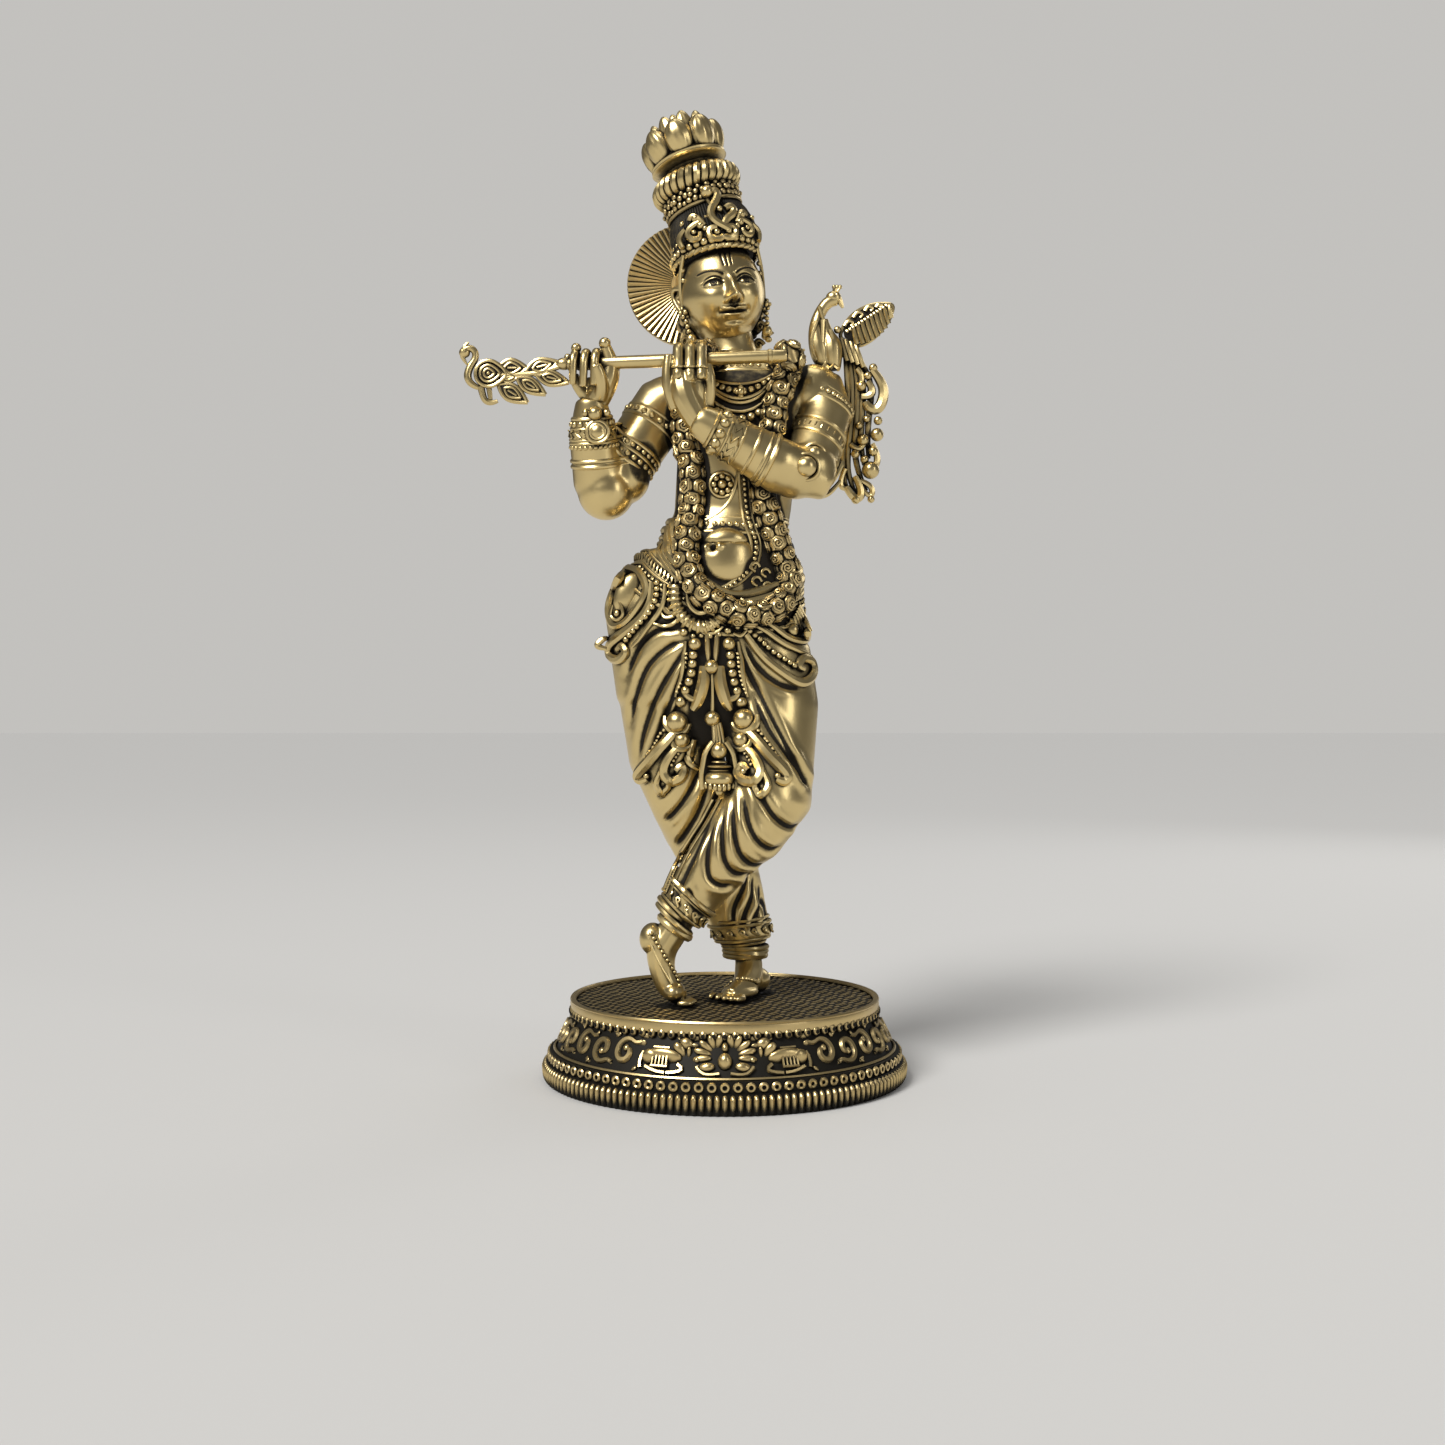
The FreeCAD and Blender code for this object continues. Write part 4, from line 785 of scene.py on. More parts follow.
S_SCROLL = [(-0.9, 8.9, 0.8), (-0.3, 9.6, 1.0), (0.5, 8.6, 1.1), (-0.3, 7.2, 1.1), (-1.6, 5.6, 1.15),
            (-1.5, 4.1, 1.15),
            (-0.6, 3.0, 1.1), (0.5, 2.3, 1.1), (1.5, 1.5, 1.0)]
RETURN_SCROLL = [(0.2, 2.4, 0.9), (1.1, 3.8, 1.1), (2.5, 4.5, 1.1), (3.0, 5.6, 1.1), (2.1, 6.3, 1.0),
                 (1.2, 5.7, 0.8)]
SIDE_SCROLLS = [
    [(0.9, 2.3, 0.9), (2.0, 2.6, 1.0), (2.7, 1.4, 1.1), (2.0, 0.2, 1.1), (0.4, 0.2, 1.1), (0.0, 0.6, 0.9)],
    [(3.8, 3.8, 0.9), (5.4, 3.3, 1.1), (6.2, 1.9, 1.1), (5.4, 0.7, 1.1), (4.0, 0.9, 0.9), (4.0, 1.9, 0.7)],
    [(6.3, 3.0, 0.8), (7.3, 2.2, 1.1), (7.6, 0.9, 1.0), (7.2, -0.2, 0.8)],
    [(3.0, 3.0, 0.8), (3.9, 4.8, 1.1), (5.0, 5.3, 1.0), (5.4, 4.4, 0.8)],
]
wires(crest, [[(crest_at(x, z, 0.5), f) for x, z, f in line] for line in (S_SCROLL, RETURN_SCROLL)], 0.66,
      sides=2, steps=6)
for side in (-1, 1):
    wires(crest, [[(crest_at(side * x, z, 0.35), f) for x, z, f in line] for line in SIDE_SCROLLS],
          0.56, sides=2, steps=5)
    for x, z, size in ((1.1, 1.4, 0.62), (4.3, 4.6, 0.75), (3.7, 3.1, 0.72), (3.0, 2.4, 0.55),
                       (5.0, 2.1, 0.5),
                       (6.6, 4.2, 0.5)):
        ball(crest, crest_at(side * x, z, 0.4), size)
ball(crest, crest_at(-1.5, 9.2, 0.5), 1.15, None, 3)
ball(crest, crest_at(0.2, 5.7, 0.4), 0.62)
for x0, z0, x1, z1 in ((-1.2, 8.2, 0.2, 4.4), (-3.4, 2.4, 3.4, 2.4), (-2.6, 4.6, 2.6, 4.4)):
    wires(crest, [[crest_at(x0, z0, -0.45), crest_at((x0 + x1) / 2, (z0 + z1) / 2, -0.2),
                   crest_at(x1, z1, -0.45)]], 0.55)
finished("diadem_crest_scrolls", crest, ["diadem_crest"])

# The roped ring is twisted from one thick wire.
rope = bmesh.new()
ROPE = 9.9
turned_piece(rope, [(5.2 + 1.45 * cos(a) + 1.2, ROPE + 1.65 * sin(a))
                    for a in (tau * k / 12 - pi for k in range(12))], 96)
STRANDS = 32
for angle in turns(STRANDS):
    wires(rope, [[crown(angle + 0.12 * sin(a / 2), 6.35 + 1.5 * cos(a), ROPE + 1.55 * sin(a))
                  for a in (-2.0 + 4.0 * j / 6 for j in range(7))]], 0.76, sides=2, steps=3)
finished("roped_ring", rope, ["rope_ring"])

# The lotus is a dish with a double rim, then plump petals in two rows round a bud.
dish = bmesh.new()
DISH = 14.2
turned_piece(dish, [(4.9, DISH - 2.9), (4.9, DISH - 0.9), (6.2, DISH - 0.5), (6.5, DISH - 0.3),
                    (6.9, DISH - 0.25),
                    (7.2, DISH), (6.95, DISH + 0.28), (6.95, DISH + 0.36), (7.1, DISH + 0.62),
                    (6.8, DISH + 0.85),
                    (4.0, DISH + 0.9)], 96)
finished("lotus_dish_rim", dish, ["lotus_dish"])


def petal(bm, foot, axes, half_width, half_depth, height, veins=5, tip=0.9):
    """A plump pointed petal standing on foot: axes give across, outward and up."""
    made = bmesh.ops.create_uvsphere(bm, u_segments=44, v_segments=18, radius=1)["verts"]
    for vert in made:
        x, y, z = vert.co
        share = (z + 1) / 2
        girth = 1 - max(0.0, share - 0.6) ** 2 * tip
        vein = 1 - 0.085 * (1 - abs(sin(veins * atan2(x, -y) + 1.2 * z))) ** 2
        vert.co = foot + axes @ place(x * half_width * girth * vein, y * half_depth * girth * vein,
                                        share * height)


lotus = bmesh.new()
for radius, count, height, width, lean, start, up in (
        (5.15, 8, 6.9, 2.6, -0.20, 0.05, 0.5), (3.7, 8, 8.3, 1.9, -0.10, 0.55, 0.9),
        (1.5, 4, 8.9, 1.6, -0.04, 0.0, 1.0)):
    for k in range(count):
        angle = tau * (k + start) / count
        petal(lotus, crown(angle, radius, DISH + up - 0.4), crown_axes(angle, -lean), width,
              width * 0.78, height)
turned_piece(lotus, [(5.6, DISH + 0.4), (6.0, DISH + 1.4), (4.4, DISH + 2.6), (1.0, DISH + 4.0)], 48)
finished("lotus_bloom", lotus, ["lotus_petals"])

# The ribbed disc stands behind the head.  Each face has its own ribs.
disc = bmesh.new()
LOW, HIGH, MIDDLE = box_of("halo_disc")
HALO = (Matrix.Translation(MIDDLE + place(0, 0.9, 0)) @ Matrix.Rotation(radians(-4), 4, "X")
        @ Matrix.Rotation(radians(-8), 4, "Y"))
HALO_RADIUS = (HIGH.z - LOW.z) / 2 - 0.3
bmesh.ops.create_cone(disc, cap_ends=True, segments=96, radius1=HALO_RADIUS, radius2=HALO_RADIUS, depth=1.0,
                      matrix=HALO @ Matrix.Rotation(pi / 2, 4, "X"))
RIBS = 66
for a in turns(RIBS):
    run = [HALO @ place(r * sin(a), -0.55, r * cos(a)) for r in (3.6, 6.5, 9.5, HALO_RADIUS - 0.1)]
    wires(disc, [list(zip(run, (0.35, 0.7, 1.0, 1.25)))], 0.36, sides=1, steps=2)
    back = [HALO @ place(r * sin(a), 0.55, r * cos(a)) for r in (3.6, 8.0, HALO_RADIUS - 0.1)]
    wires(disc, [list(zip(back, (0.4, 0.9, 1.25)))], 0.36, sides=1, steps=2)
finished("ribbed_disc", disc, ["halo_disc"], ANTIQUED)

# Each long earring is a flower boss on the ear, a chain of beads and a bell drop.
earrings = bmesh.new()
for side in (-1, 1):
    lobe = place(side * 7.7, -1.0, -2.6)
    for a in turns(6):
        ball(earrings, HEAD @ (lobe + place(0, -0.35, 0) + place(0.8 * cos(a), 0, 0.8 * sin(a))), 0.45)
    ball(earrings, HEAD @ (lobe + place(0, -0.8, 0)), 0.55)
    for k in range(3):
        ball(earrings, HEAD @ (lobe + place(-0.1 * side * k, -0.3, -1.6 - 0.95 * k)), 0.48)
    ball(earrings, HEAD @ (lobe + place(-0.4 * side, -0.3, -5.0)), (0.95, 0.95, 1.1), None, 3)
    ball(earrings, HEAD @ (lobe + place(-0.4 * side, -0.3, -6.5)), (0.7, 0.7, 0.6))
    for k in range(5):
        ball(earrings, HEAD @ (place(side * (7.1 + 0.18 * sin(k)), -3.4 + 0.5 * k, 6.4 - 1.7 * k)), 0.5)
    wires(earrings, [[HEAD @ place(side * x, y, z) for x, y, z in (
        (7.0, -4.2, 7.2), (7.6, -3.0, 5.0), (7.9, -1.8, 2.4), (7.9, -1.0, 0.0), (7.7, -0.9, -2.2))]],
          0.36, sides=2)
finished("long_earrings", earrings, ["earrings"])

# ---------------------------------------------------------------- belts and hems
# Belts, hems and anklets are chased bands: rolled edges, pearl rows, bars and key patterns.
# Each follows the casting under it, all the way round.
LIMBS = SKIN + FEET


def skin_at(centre, axis, height, angle, trees, lift=0.0, reach=26.0):
    """The outermost skin within reach of a limb's axis: height along it, angle from the front."""
    axis = Vector(axis).normalized()
    ahead = (place(0, -1, 0) - axis * -axis.y).normalized()
    out = Matrix.Rotation(angle, 3, axis) @ ahead
    start = Vector(centre) + axis * height
    hits = [tree.ray_cast(start + out * reach, -out, reach) for tree in trees]
    hits = [hit[0] for hit in hits if hit[0]]
    if not hits:
        return start + out * 4, out
    return max(hits, key=lambda spot: (spot - start).length) + out * lift, out


def banding(bm, centre, axis, rows, trees, count=60, dip=lambda angle: 0.0, reach=26.0):
    """Rows of trim round a limb.  A row is its kind, height, size and, for a pattern, its number."""
    axis = Vector(axis).normalized()
    for kind, height, size, *number in rows:
        if kind == "roll":
            path = [skin_at(centre, axis, height + dip(a), a, trees, size * 0.35, reach)[0]
                    for a in turns(count)]
            wires(bm, [path], size, closed=True, sides=2, steps=2)
            continue
        for angle in turns(number[0]):
            level = height + dip(angle)
            spot, out = skin_at(centre, axis, level, angle, trees, 0.1, reach)
            axes = Matrix((out.cross(axis), -out, axis)).transposed()
            if kind == "pearls":
                ball(bm, spot, size, None, 1 if size < 0.45 else 2)
            elif kind == "bars":
                ball(bm, spot, (size * 0.34, size * 0.5, size), axes, 1)
            elif kind == "keys":
                high, low, wide = size * 0.5, -size * 0.5, size * 0.42
                line = [(-wide, high), (wide, high), (wide, 0.0), (-wide, 0.0), (-wide, low), (wide, low)]
                wires(bm, [[spot + axes @ place(x, -0.15, z) for x, z in line]], 0.2, sides=0, steps=1)
            elif kind == "waves":
                curl = [(cos(a) * r * 0.8, sin(a) * r) for a, r in
                        ((0.9 * j, size * (1 - 0.13 * j)) for j in range(7))]
                wires(bm, [[spot + axes @ place(x, -0.15, z) for x, z in
                            [(-1.3 * size, -size)] + curl]], 0.24, sides=1, steps=2)


waist = bmesh.new()
WAIST = (-1.4, -0.6, 96.4)
UP = (0, 0, 1)


def girdle_dip(angle):
    """A girdle hangs low at the front and rides on the hips."""
    turned = (angle + pi - 0.3) % tau - pi
    return -14.0 * max(0.0, 1 - (abs(turned) / (1.45 if turned < 0 else 2.3)) ** 1.6)


CLOTHED = [BVHTree.FromBMesh(solids("torso", "dhoti_casting")), SKIN[0]]
banding(waist, WAIST, UP, [("roll", 5.8, 0.8), ("roll", 4.3, 0.9), ("roll", 2.9, 0.6),
                           ("roll", 1.9, 0.5)], CLOTHED, 60,
        girdle_dip)
finished("waist_rolls", waist, ["waist_belt"])

girdle = bmesh.new()
banding(girdle, (-2.6, -0.3, 96.0), UP, [
    ("roll", 0.9, 0.30), ("bars", -0.3, 0.95, 104), ("roll", -1.5, 0.30), ("pearls", -2.3, 0.44, 92),
    ("roll", -3.1, 0.36), ("keys", -4.5, 1.5, 44), ("roll", -5.9, 0.42)], CLOTHED, 72,
        lambda angle: 0.64 * girdle_dip(angle))
for x, z, size in ((5.4, 93.4, 0.8), (7.3, 92.4, 0.75), (5.7, 90.8, 0.85), (7.6, 90.0, 0.7),
                   (6.6, 88.4, 0.7)):
    wires(girdle, [[front(x + size * cos(a), z + size * sin(a), 0.25, SKIN)
                    for a in (tau * k / 8 for k in range(7))]],
          0.26, sides=2)
finished("girdle", girdle, ["hip_belt"])

belly = bmesh.new()
banding(belly, (2.2, -0.8, 101.0), (0.03, 0, 1), [
    ("roll", 1.35, 0.30), ("pearls", 0.0, 0.58, 44), ("roll", -1.35, 0.30), ("roll", 2.0, 0.22)],
        CLOTHED[:1], 60)
finished("jewelled_belly_band", belly, ["belly_band"])

for name, node, centre, axis, rows in (
    ("hem_crossing", "crossing_hem_cuff", (-6.9, -8.0, 32.4), (0.68, 0.0, 0.74), [
        ("roll", 2.1, 0.50), ("roll", 1.3, 0.30), ("waves", 0.0, 0.75, 15), ("roll", -1.3, 0.30),
        ("roll", -2.2, 0.62), ("roll", -3.3, 0.50)]),
    ("hem_standing", "standing_hem_cuff", (3.4, 6.0, 25.6), (-0.10, 0, 1), [
        ("roll", 2.0, 0.36), ("waves", 0.6, 0.75, 15), ("roll", -0.9, 0.34), ("roll", -1.6, 0.44),
        ("roll", 2.9, 0.30)]),
    ("anklet_crossing", "crossing_anklet", (-9.0, -7.9, 29.0), (0.60, 0, 0.80), [("roll", -0.4, 0.85)]),
    ("anklet_standing", "standing_anklet", (4.1, 6.2, 22.4), (0.12, 0, 1), [("roll", -0.2, 0.85)])):
    trim = bmesh.new()
    banding(trim, centre, axis, rows, LIMBS[:1] if "hem" in name else FEET, 32, reach=6.4)
    if node == "crossing_anklet":
        for k in range(13):
            x, z = -13.2 + 4.8 * k / 12, 27.6 - 9.4 * k / 12
            ball(trim, front(x + 0.5 * sin(pi * k / 14), z, 0.15, FEET), 0.42)
        wires(trim, [[front(x + dx, z, 0.05, FEET)
                      for x, z in ((-13.1, 27.4), (-12.2, 25.0), (-10.8, 21.8), (-8.8, 18.6))]
                     for dx in (-0.75, 0.75)], 0.22, sides=1)
    if node == "standing_hem_cuff":
        for drop, radius, size in ((-2.5, 4.1, 0.55), (-3.3, 4.1, 0.45), (-4.1, 3.9, 0.55),
                                   (-3.3, 3.4, 0.9)):
            wires(trim, [[place(3.9 + radius * cos(a), 6.1 + radius * sin(a), 25.6 + drop) for a in
                          turns(16)]], size, closed=True, sides=2, steps=4)
    if node == "standing_anklet":
        for k in range(16):
            a = -1.9 + 3.8 * k / 15
            spot = place(3.3 + 3.1 * sin(a + 0.4), -0.6 - 2.0 * cos(a),
                         17.7 + 0.55 * sin(a) + 0.9 * cos(2 * a))
            found = FEET[0].find_nearest(spot)
            ball(trim, found[0] + found[1] * 0.1, 0.42)
    finished(name, trim, [node])

# ---------------------------------------------------------------- sashes, loops and tassel
# Cast ornaments soldered over the front of the dhoti: two sashes with pearl rows that end
# in curls, a ribbed buckle, two beaded loops with scrolls, and a bell tassel on the middle.


def laid(line, lift=0.3, steps=4, trees=None):
    """A given line (x, z) eased and laid on the body's front."""
    return [front(p.x, p.y, lift, trees) for p in curved([Vector(p) for p in line], steps)]


def strap(bm, line, radius, lift=0.35, taper=True):
    """A round strap laid on the body that thins to its ends."""
    run = laid(line, lift)
    last = len(run) - 1
    wires(bm, [[(spot, 0.55 + 0.45 * sin(pi * min(1, (k + 0.6) / last)) ** 0.6 if taper else 1)
                for k, spot in enumerate(run)]], radius, sides=2, steps=2)


def pearls(bm, line, size, lift=0.25, gap=1.0, trees=None):
    """Touching beads along a line laid on the body."""
    run = laid(line, lift, 12, trees)
    walked, due = 0.0, 0.0
    for a, b in zip(run, run[1:]):
        walked += (b - a).length
        if walked >= due:
            ball(bm, b, size, None, 1 if size < 0.45 else 2)
            due += 2 * size * gap


def boss(bm, x, z, size, lift=0.3, flat=1.0, detail=3):
    """A round boss on the body's front."""
    ball(bm, front(x, z, lift), (size, size * flat, size), None, detail)


sash = bmesh.new()
strap(sash, [(-17.6, 93.7), (-20.0, 89.9), (-20.9, 86.0), (-20.0, 83.2), (-17.8, 83.6), (-15.6, 86.0),
             (-13.9, 89.1), (-15.1, 92.3), (-17.4, 93.6)], 0.8, taper=False)
ball(sash, front(-17.4, 88.8, 0.2), (2.3, 1.1, 3.9), Matrix.Rotation(radians(24), 3, "Y"), 3)
strap(sash, [(-19.6, 86.6), (-19.9, 85.0), (-18.9, 84.1), (-17.8, 85.0), (-18.2, 86.6),
             (-18.9, 87.6)], 0.32, 1.0)
boss(sash, -18.8, 85.3, 0.6, 1.0)
strap(sash, [(-13.0, 90.4), (-13.3, 87.0), (-15.1, 84.1), (-18.3, 81.6), (-20.6, 79.8), (-20.6, 77.7),
             (-19.0, 76.9), (-17.7, 78.1), (-18.4, 79.4), (-19.3, 78.7)], 0.95)
pearls(sash, [(-12.0, 90.6), (-12.1, 88.0), (-13.2, 85.6), (-15.0, 83.4), (-16.6, 81.6),
              (-17.6, 80.4)], 0.58, 0.5)
strap(sash, [(-10.6, 90.2), (-10.8, 87.2), (-12.2, 84.4), (-14.6, 81.6), (-16.6, 79.2)], 0.5)
strap(sash, [(-21.4, 81.0), (-23.0, 79.4), (-21.3, 78.7)], 0.6)
for line in ([(-10.2, 88.6), (-11.0, 86.4), (-9.8, 85.0), (-8.6, 86.0), (-9.0, 87.6), (-9.9, 87.2)],
             [(-8.2, 88.2), (-8.0, 86.0), (-9.0, 84.6), (-10.6, 84.2), (-11.4, 85.4)],
             [(-7.6, 85.2), (-8.8, 83.4), (-10.6, 83.0), (-12.6, 83.2)]):
    strap(sash, line, 0.36)
finished("sash_right", sash, ["right_sash"])

sash = bmesh.new()
strap(sash, [(3.7, 81.2), (7.0, 76.9), (11.2, 73.6), (14.0, 72.6), (15.8, 74.2), (15.5, 76.6), (13.9, 77.0),
             (13.2, 75.6), (14.1, 75.0)], 0.92)
pearls(sash, [(3.4, 82.6), (6.1, 80.4), (8.5, 78.2), (11.2, 76.4), (12.6, 75.4)], 0.58, 0.5)
strap(sash, [(4.8, 83.2), (7.4, 81.8), (10.2, 79.8), (12.8, 78.6), (15.6, 77.4)], 0.62)
strap(sash, [(6.0, 84.4), (8.8, 82.6), (11.6, 80.6), (14.2, 80.2), (15.0, 81.8), (13.6, 83.6),
             (11.4, 84.0)], 0.7)
boss(sash, 12.0, 82.2, 1.25, 0.3, 0.7)
strap(sash, [(10.2, 82.2), (11.4, 80.9), (13.2, 81.2), (13.4, 83.0), (11.8, 83.6), (10.6, 82.8)], 0.3, 0.5)
for k in range(5):
    strap(sash, [(13.0 - 0.2 * k, 86.8 - 0.5 * k), (15.6 - 0.7 * k, 81.9 + 0.1 * k)], 0.5, 0.5)
finished("sash_left", sash, ["left_sash"])

buckle = bmesh.new()
HOOP = [(-8.6, 89.6), (-8.6, 86.4), (-6.8, 83.6), (-3.6, 82.4), (-1.2, 84.0), (0.0, 86.0)]
strap(buckle, HOOP, 1.0, 0.4, taper=False)
for spot, ahead in zip(laid(HOOP, 0.75, 3), laid(HOOP, 0.75, 3)[1:]):
    run = (ahead - spot).normalized()
    across = run.cross(place(0, -1, 0)).normalized()
    wires(buckle, [[spot + across * 1.15 + place(0, 0.6, 0), spot + across * 0.6 + place(0, -0.45, 0),
                    spot - across * 0.6 + place(0, -0.45, 0), spot - across * 1.15 + place(0, 0.6, 0)]],
          0.40, sides=2, steps=2)
for line in ([(-6.6, 88.6), (-6.2, 86.4), (-4.6, 85.0), (-2.8, 85.6), (-2.2, 87.4)],
             [(-5.4, 88.8), (-5.0, 87.0), (-3.8, 86.6), (-3.2, 88.0)]):
    strap(buckle, line, 0.45, 0.9)
for x, z, size in ((-7.2, 81.6, 0.75), (-5.6, 80.9, 0.5), (-4.2, 81.0, 0.5), (-2.6, 80.9, 0.5),
                   (-1.0, 81.2, 0.5),
                   (0.5, 81.9, 0.7), (2.2, 82.6, 0.6), (-6.5, 89.6, 0.6), (3.6, 83.4, 0.5)):
    boss(buckle, x, z, size, 0.4, detail=2)
for line in ([(-0.4, 83.2), (0.9, 84.4), (2.2, 84.0), (2.0, 82.9)],
             [(1.4, 81.4), (2.8, 81.0), (3.8, 82.0), (5.0, 82.4)],
             [(-4.8, 82.2), (-3.4, 81.4), (-1.6, 81.6), (-0.4, 82.6)]):
    strap(buckle, line, 0.36, 0.5)
finished("ribbed_buckle", buckle, ["buckle"])


def mirrored(line, flip):
    """A line given from the body's middle outwards, on one side of it."""
    return [(MIDLINE + flip * x, z) for x, z in line]


for flip, side in ((-1, "right"), (1, "left")):
    loop = bmesh.new()
    for across, z, size in ((3.0, 79.5, 1.15), (3.3, 77.5, 0.85), (3.4, 75.9, 0.85), (3.6, 74.3, 0.85),
                            (3.9, 72.7, 0.85), (4.4, 71.1, 0.85), (5.2, 69.2, 1.0)):
        boss(loop, MIDLINE + flip * across, z, size, 0.5, detail=2 if size < 1 else 3)
    strap(loop, mirrored(((1.4, 75.6), (1.5, 72.6), (2.3, 69.8), (3.3, 68.0)), flip), 1.2, 0.5)
    strap(loop, mirrored(((4.6, 80.0), (5.0, 76.8), (5.6, 73.4), (6.4, 70.0)), flip), 0.45, 0.3)
    pearls(loop, mirrored(((4.4, 78.0), (4.9, 75.0), (5.5, 72.4), (6.2, 70.6)), flip), 0.42, 0.3)
    finished("beaded_loop_" + side, loop, [side + "_bead_loop"])
    hook = bmesh.new()
    boss(hook, MIDLINE + flip * 6.0, 65.9, 1.95, 0.7)
    boss(hook, MIDLINE + flip * 5.5, 62.3, 1.45, 0.6)
    for x, z, size, tube in ((6.0, 65.9, 2.15, 0.72), (5.5, 62.3, 1.7, 0.55), (3.2, 71.2, 1.5, 0.5)):
        wires(hook, [[(front(MIDLINE + flip * (x + size * cos(a)), z + size * sin(a), 0.55),
                       0.4 + 0.8 * sin(pi * (k + 0.5) / 8))
                      for k, a in ((k, radians(20 - 27 * k)) for k in range(8))]], tube, sides=2)
    for line, size in (
            ([(6.4, 64.6), (8.8, 62.2), (11.0, 59.6), (13.2, 57.4), (14.2, 56.0), (13.6, 55.0),
              (12.2, 55.4)], 1.12),
            ([(6.2, 61.6), (8.2, 59.4), (9.2, 57.2), (8.6, 55.3), (6.6, 54.9), (5.2, 56.4), (6.0, 57.9),
              (7.2, 57.0)], 0.98),
            ([(9.8, 56.8), (10.6, 54.4), (9.6, 52.7), (8.6, 54.0), (8.8, 56.0)], 0.72),
            ([(3.4, 62.6), (4.6, 60.4), (4.2, 58.2), (3.0, 57.2)], 0.8)):
        strap(hook, [(MIDLINE + flip * x * 0.93, z) for x, z in line], size, 0.45)
    pearls(hook, mirrored(((7.4, 65.2), (9.4, 62.8), (11.2, 60.2), (12.4, 58.4)), flip), 0.42, 0.35)
    pearls(hook, mirrored(((6.0, 60.0), (6.9, 58.6), (7.2, 57.8)), flip), 0.42, 0.35)
    boss(hook, MIDLINE + flip * 5.8, 56.6, 0.72, 0.5, detail=2)
    boss(hook, MIDLINE + flip * 11.6, 55.9, 0.62, 0.5, detail=2)
    finished("scroll_drop_" + side, hook, [side + "_scroll"])

tassel = bmesh.new()
boss(tassel, MIDLINE - 0.1, 75.4, 1.3, 0.7)
for dx in (-0.75, 0.75):
    strap(tassel, [(MIDLINE + dx * 1.2, 81.2), (MIDLINE + dx, 78.6), (MIDLINE + dx * 0.8, 76.4)], 0.5, 0.5)
wires(tassel, [[front(MIDLINE, 74.4, 0.5), front(MIDLINE + 0.2, 70.5, 0.5),
                front(MIDLINE + 0.1, 67.6, 0.5)]], 0.4, sides=1)
boss(tassel, MIDLINE + 0.1, 66.5, 1.4, 1.0)
HANG = place(-1.0, front(MIDLINE, 68.0, 1.4).y, 60.2)
for dx in (-0.9, -0.3, 0.3, 0.9):
    wires(tassel, [[place(HANG.x - 0.5 + dx * 0.7, HANG.y + 0.6, 65.4), place(HANG.x + dx, HANG.y, 61.4)]],
          0.28, sides=1)
ball(tassel, HANG + place(0, 0, 0.2), 1.55, None, 3)
for z, radius, tall in ((-1.8, 1.5, 0.35), (-2.6, 2.3, 0.4), (-3.3, 2.0, 0.35), (-4.8, 2.8, 1.6)):
    ball(tassel, HANG + place(0.1, 0, z), (radius, radius * 0.8, tall), None, 3)
for k in range(-3, 4):
    ball(tassel, HANG + place(0.1 + 0.80 * k, -1.7 + 0.14 * k * k, -6.3 + 0.05 * k * k), (0.45, 0.42, 0.75))
ball(tassel, HANG + place(0.1, -0.4, -6.8), (0.8, 0.7, 1.0), None, 3)
for dx in (-1, 1):
    wires(tassel, [[HANG + place(dx * x, -y, z) for x, y, z in
                    ((1.2, 0.4, 1.8), (2.5, 0.5, 0.2), (2.9, 0.5, -2.2), (3.3, 0.4, -4.6),
                     (3.0, 0.2, -6.6))]], 0.48, sides=2)
finished("bell_tassel", tassel, ["tassel"])

# A beaded cord edges the crossing leg's cloth, down to its hem.
edging = bmesh.new()
EDGE = [(-2.2, 51.4), (-4.4, 47.4), (-7.0, 43.2), (-9.4, 38.8), (-11.0, 35.0)]
strap(edging, EDGE, 0.42, 0.2, taper=False)
strap(edging, [(x + 1.5, z + 0.2) for x, z in EDGE], 0.28, 0.15, taper=False)
pearls(edging, [(x + 0.75, z + 0.1) for x, z in EDGE], 0.32, 0.2)
finished("cloth_edging", edging, [])

# ---------------------------------------------------------------- garland and necklaces
# A thick rope of small roses hangs from both shoulders to the belly.  Under it lie a broad
# collar, a string of pearls, a flower pendant and a pearl-edged thread.
CHEST = [BVHTree.FromBMesh(solids("torso", "dhoti_casting"))]
ROPE_THICK = 1.85


def rope_run():
    """The garland's middle line, standing off the chest by its own thickness."""
    run = []
    for spot in curved([Vector(p) for p in ROPE_LINE], 8):
        out = front(spot.x, spot.y, 0, CHEST)
        run.append(place(spot.x, min(out.y, -2.0) - ROPE_THICK * 0.75, spot.y))
    for _ in range(6):
        run = [run[0]] + [place(b.x, (a.y + 2 * b.y + c.y) / 4, b.z)
                          for a, b, c in zip(run, run[1:], run[2:])] + [run[-1]]
    left, right = run[0], run[-1]
    before = [place(left.x + 0.6 * k, left.y + 2.2 * k, left.z + 1.0 - 0.1 * k * k)
              for k in range(3, 0, -1)]
    after = [place(right.x - 0.7 * k, right.y + 2.2 * k, right.z + 1.4 - 0.2 * k * k) for k in range(1, 4)]
    return before + run + after


def rose(bm, centre, out, size, spin):
    """A small rose: a low dome wound with one spiral petal edge."""
    axes = out.to_track_quat("Z", "Y").to_matrix()
    darken(bm, ball(bm, centre, (size, size, size * 0.42), axes, 2), 0.12)
    path = []
    for k in range(17):
        r, a = size * (0.06 + 0.055 * k), spin + 0.98 * k
        path.append((centre + axes @ place(r * cos(a), r * sin(a), size * (0.52 - 0.020 * k)),
                     0.8 + 0.03 * k))
    wires(bm, [path], size * 0.155, sides=1, steps=1)


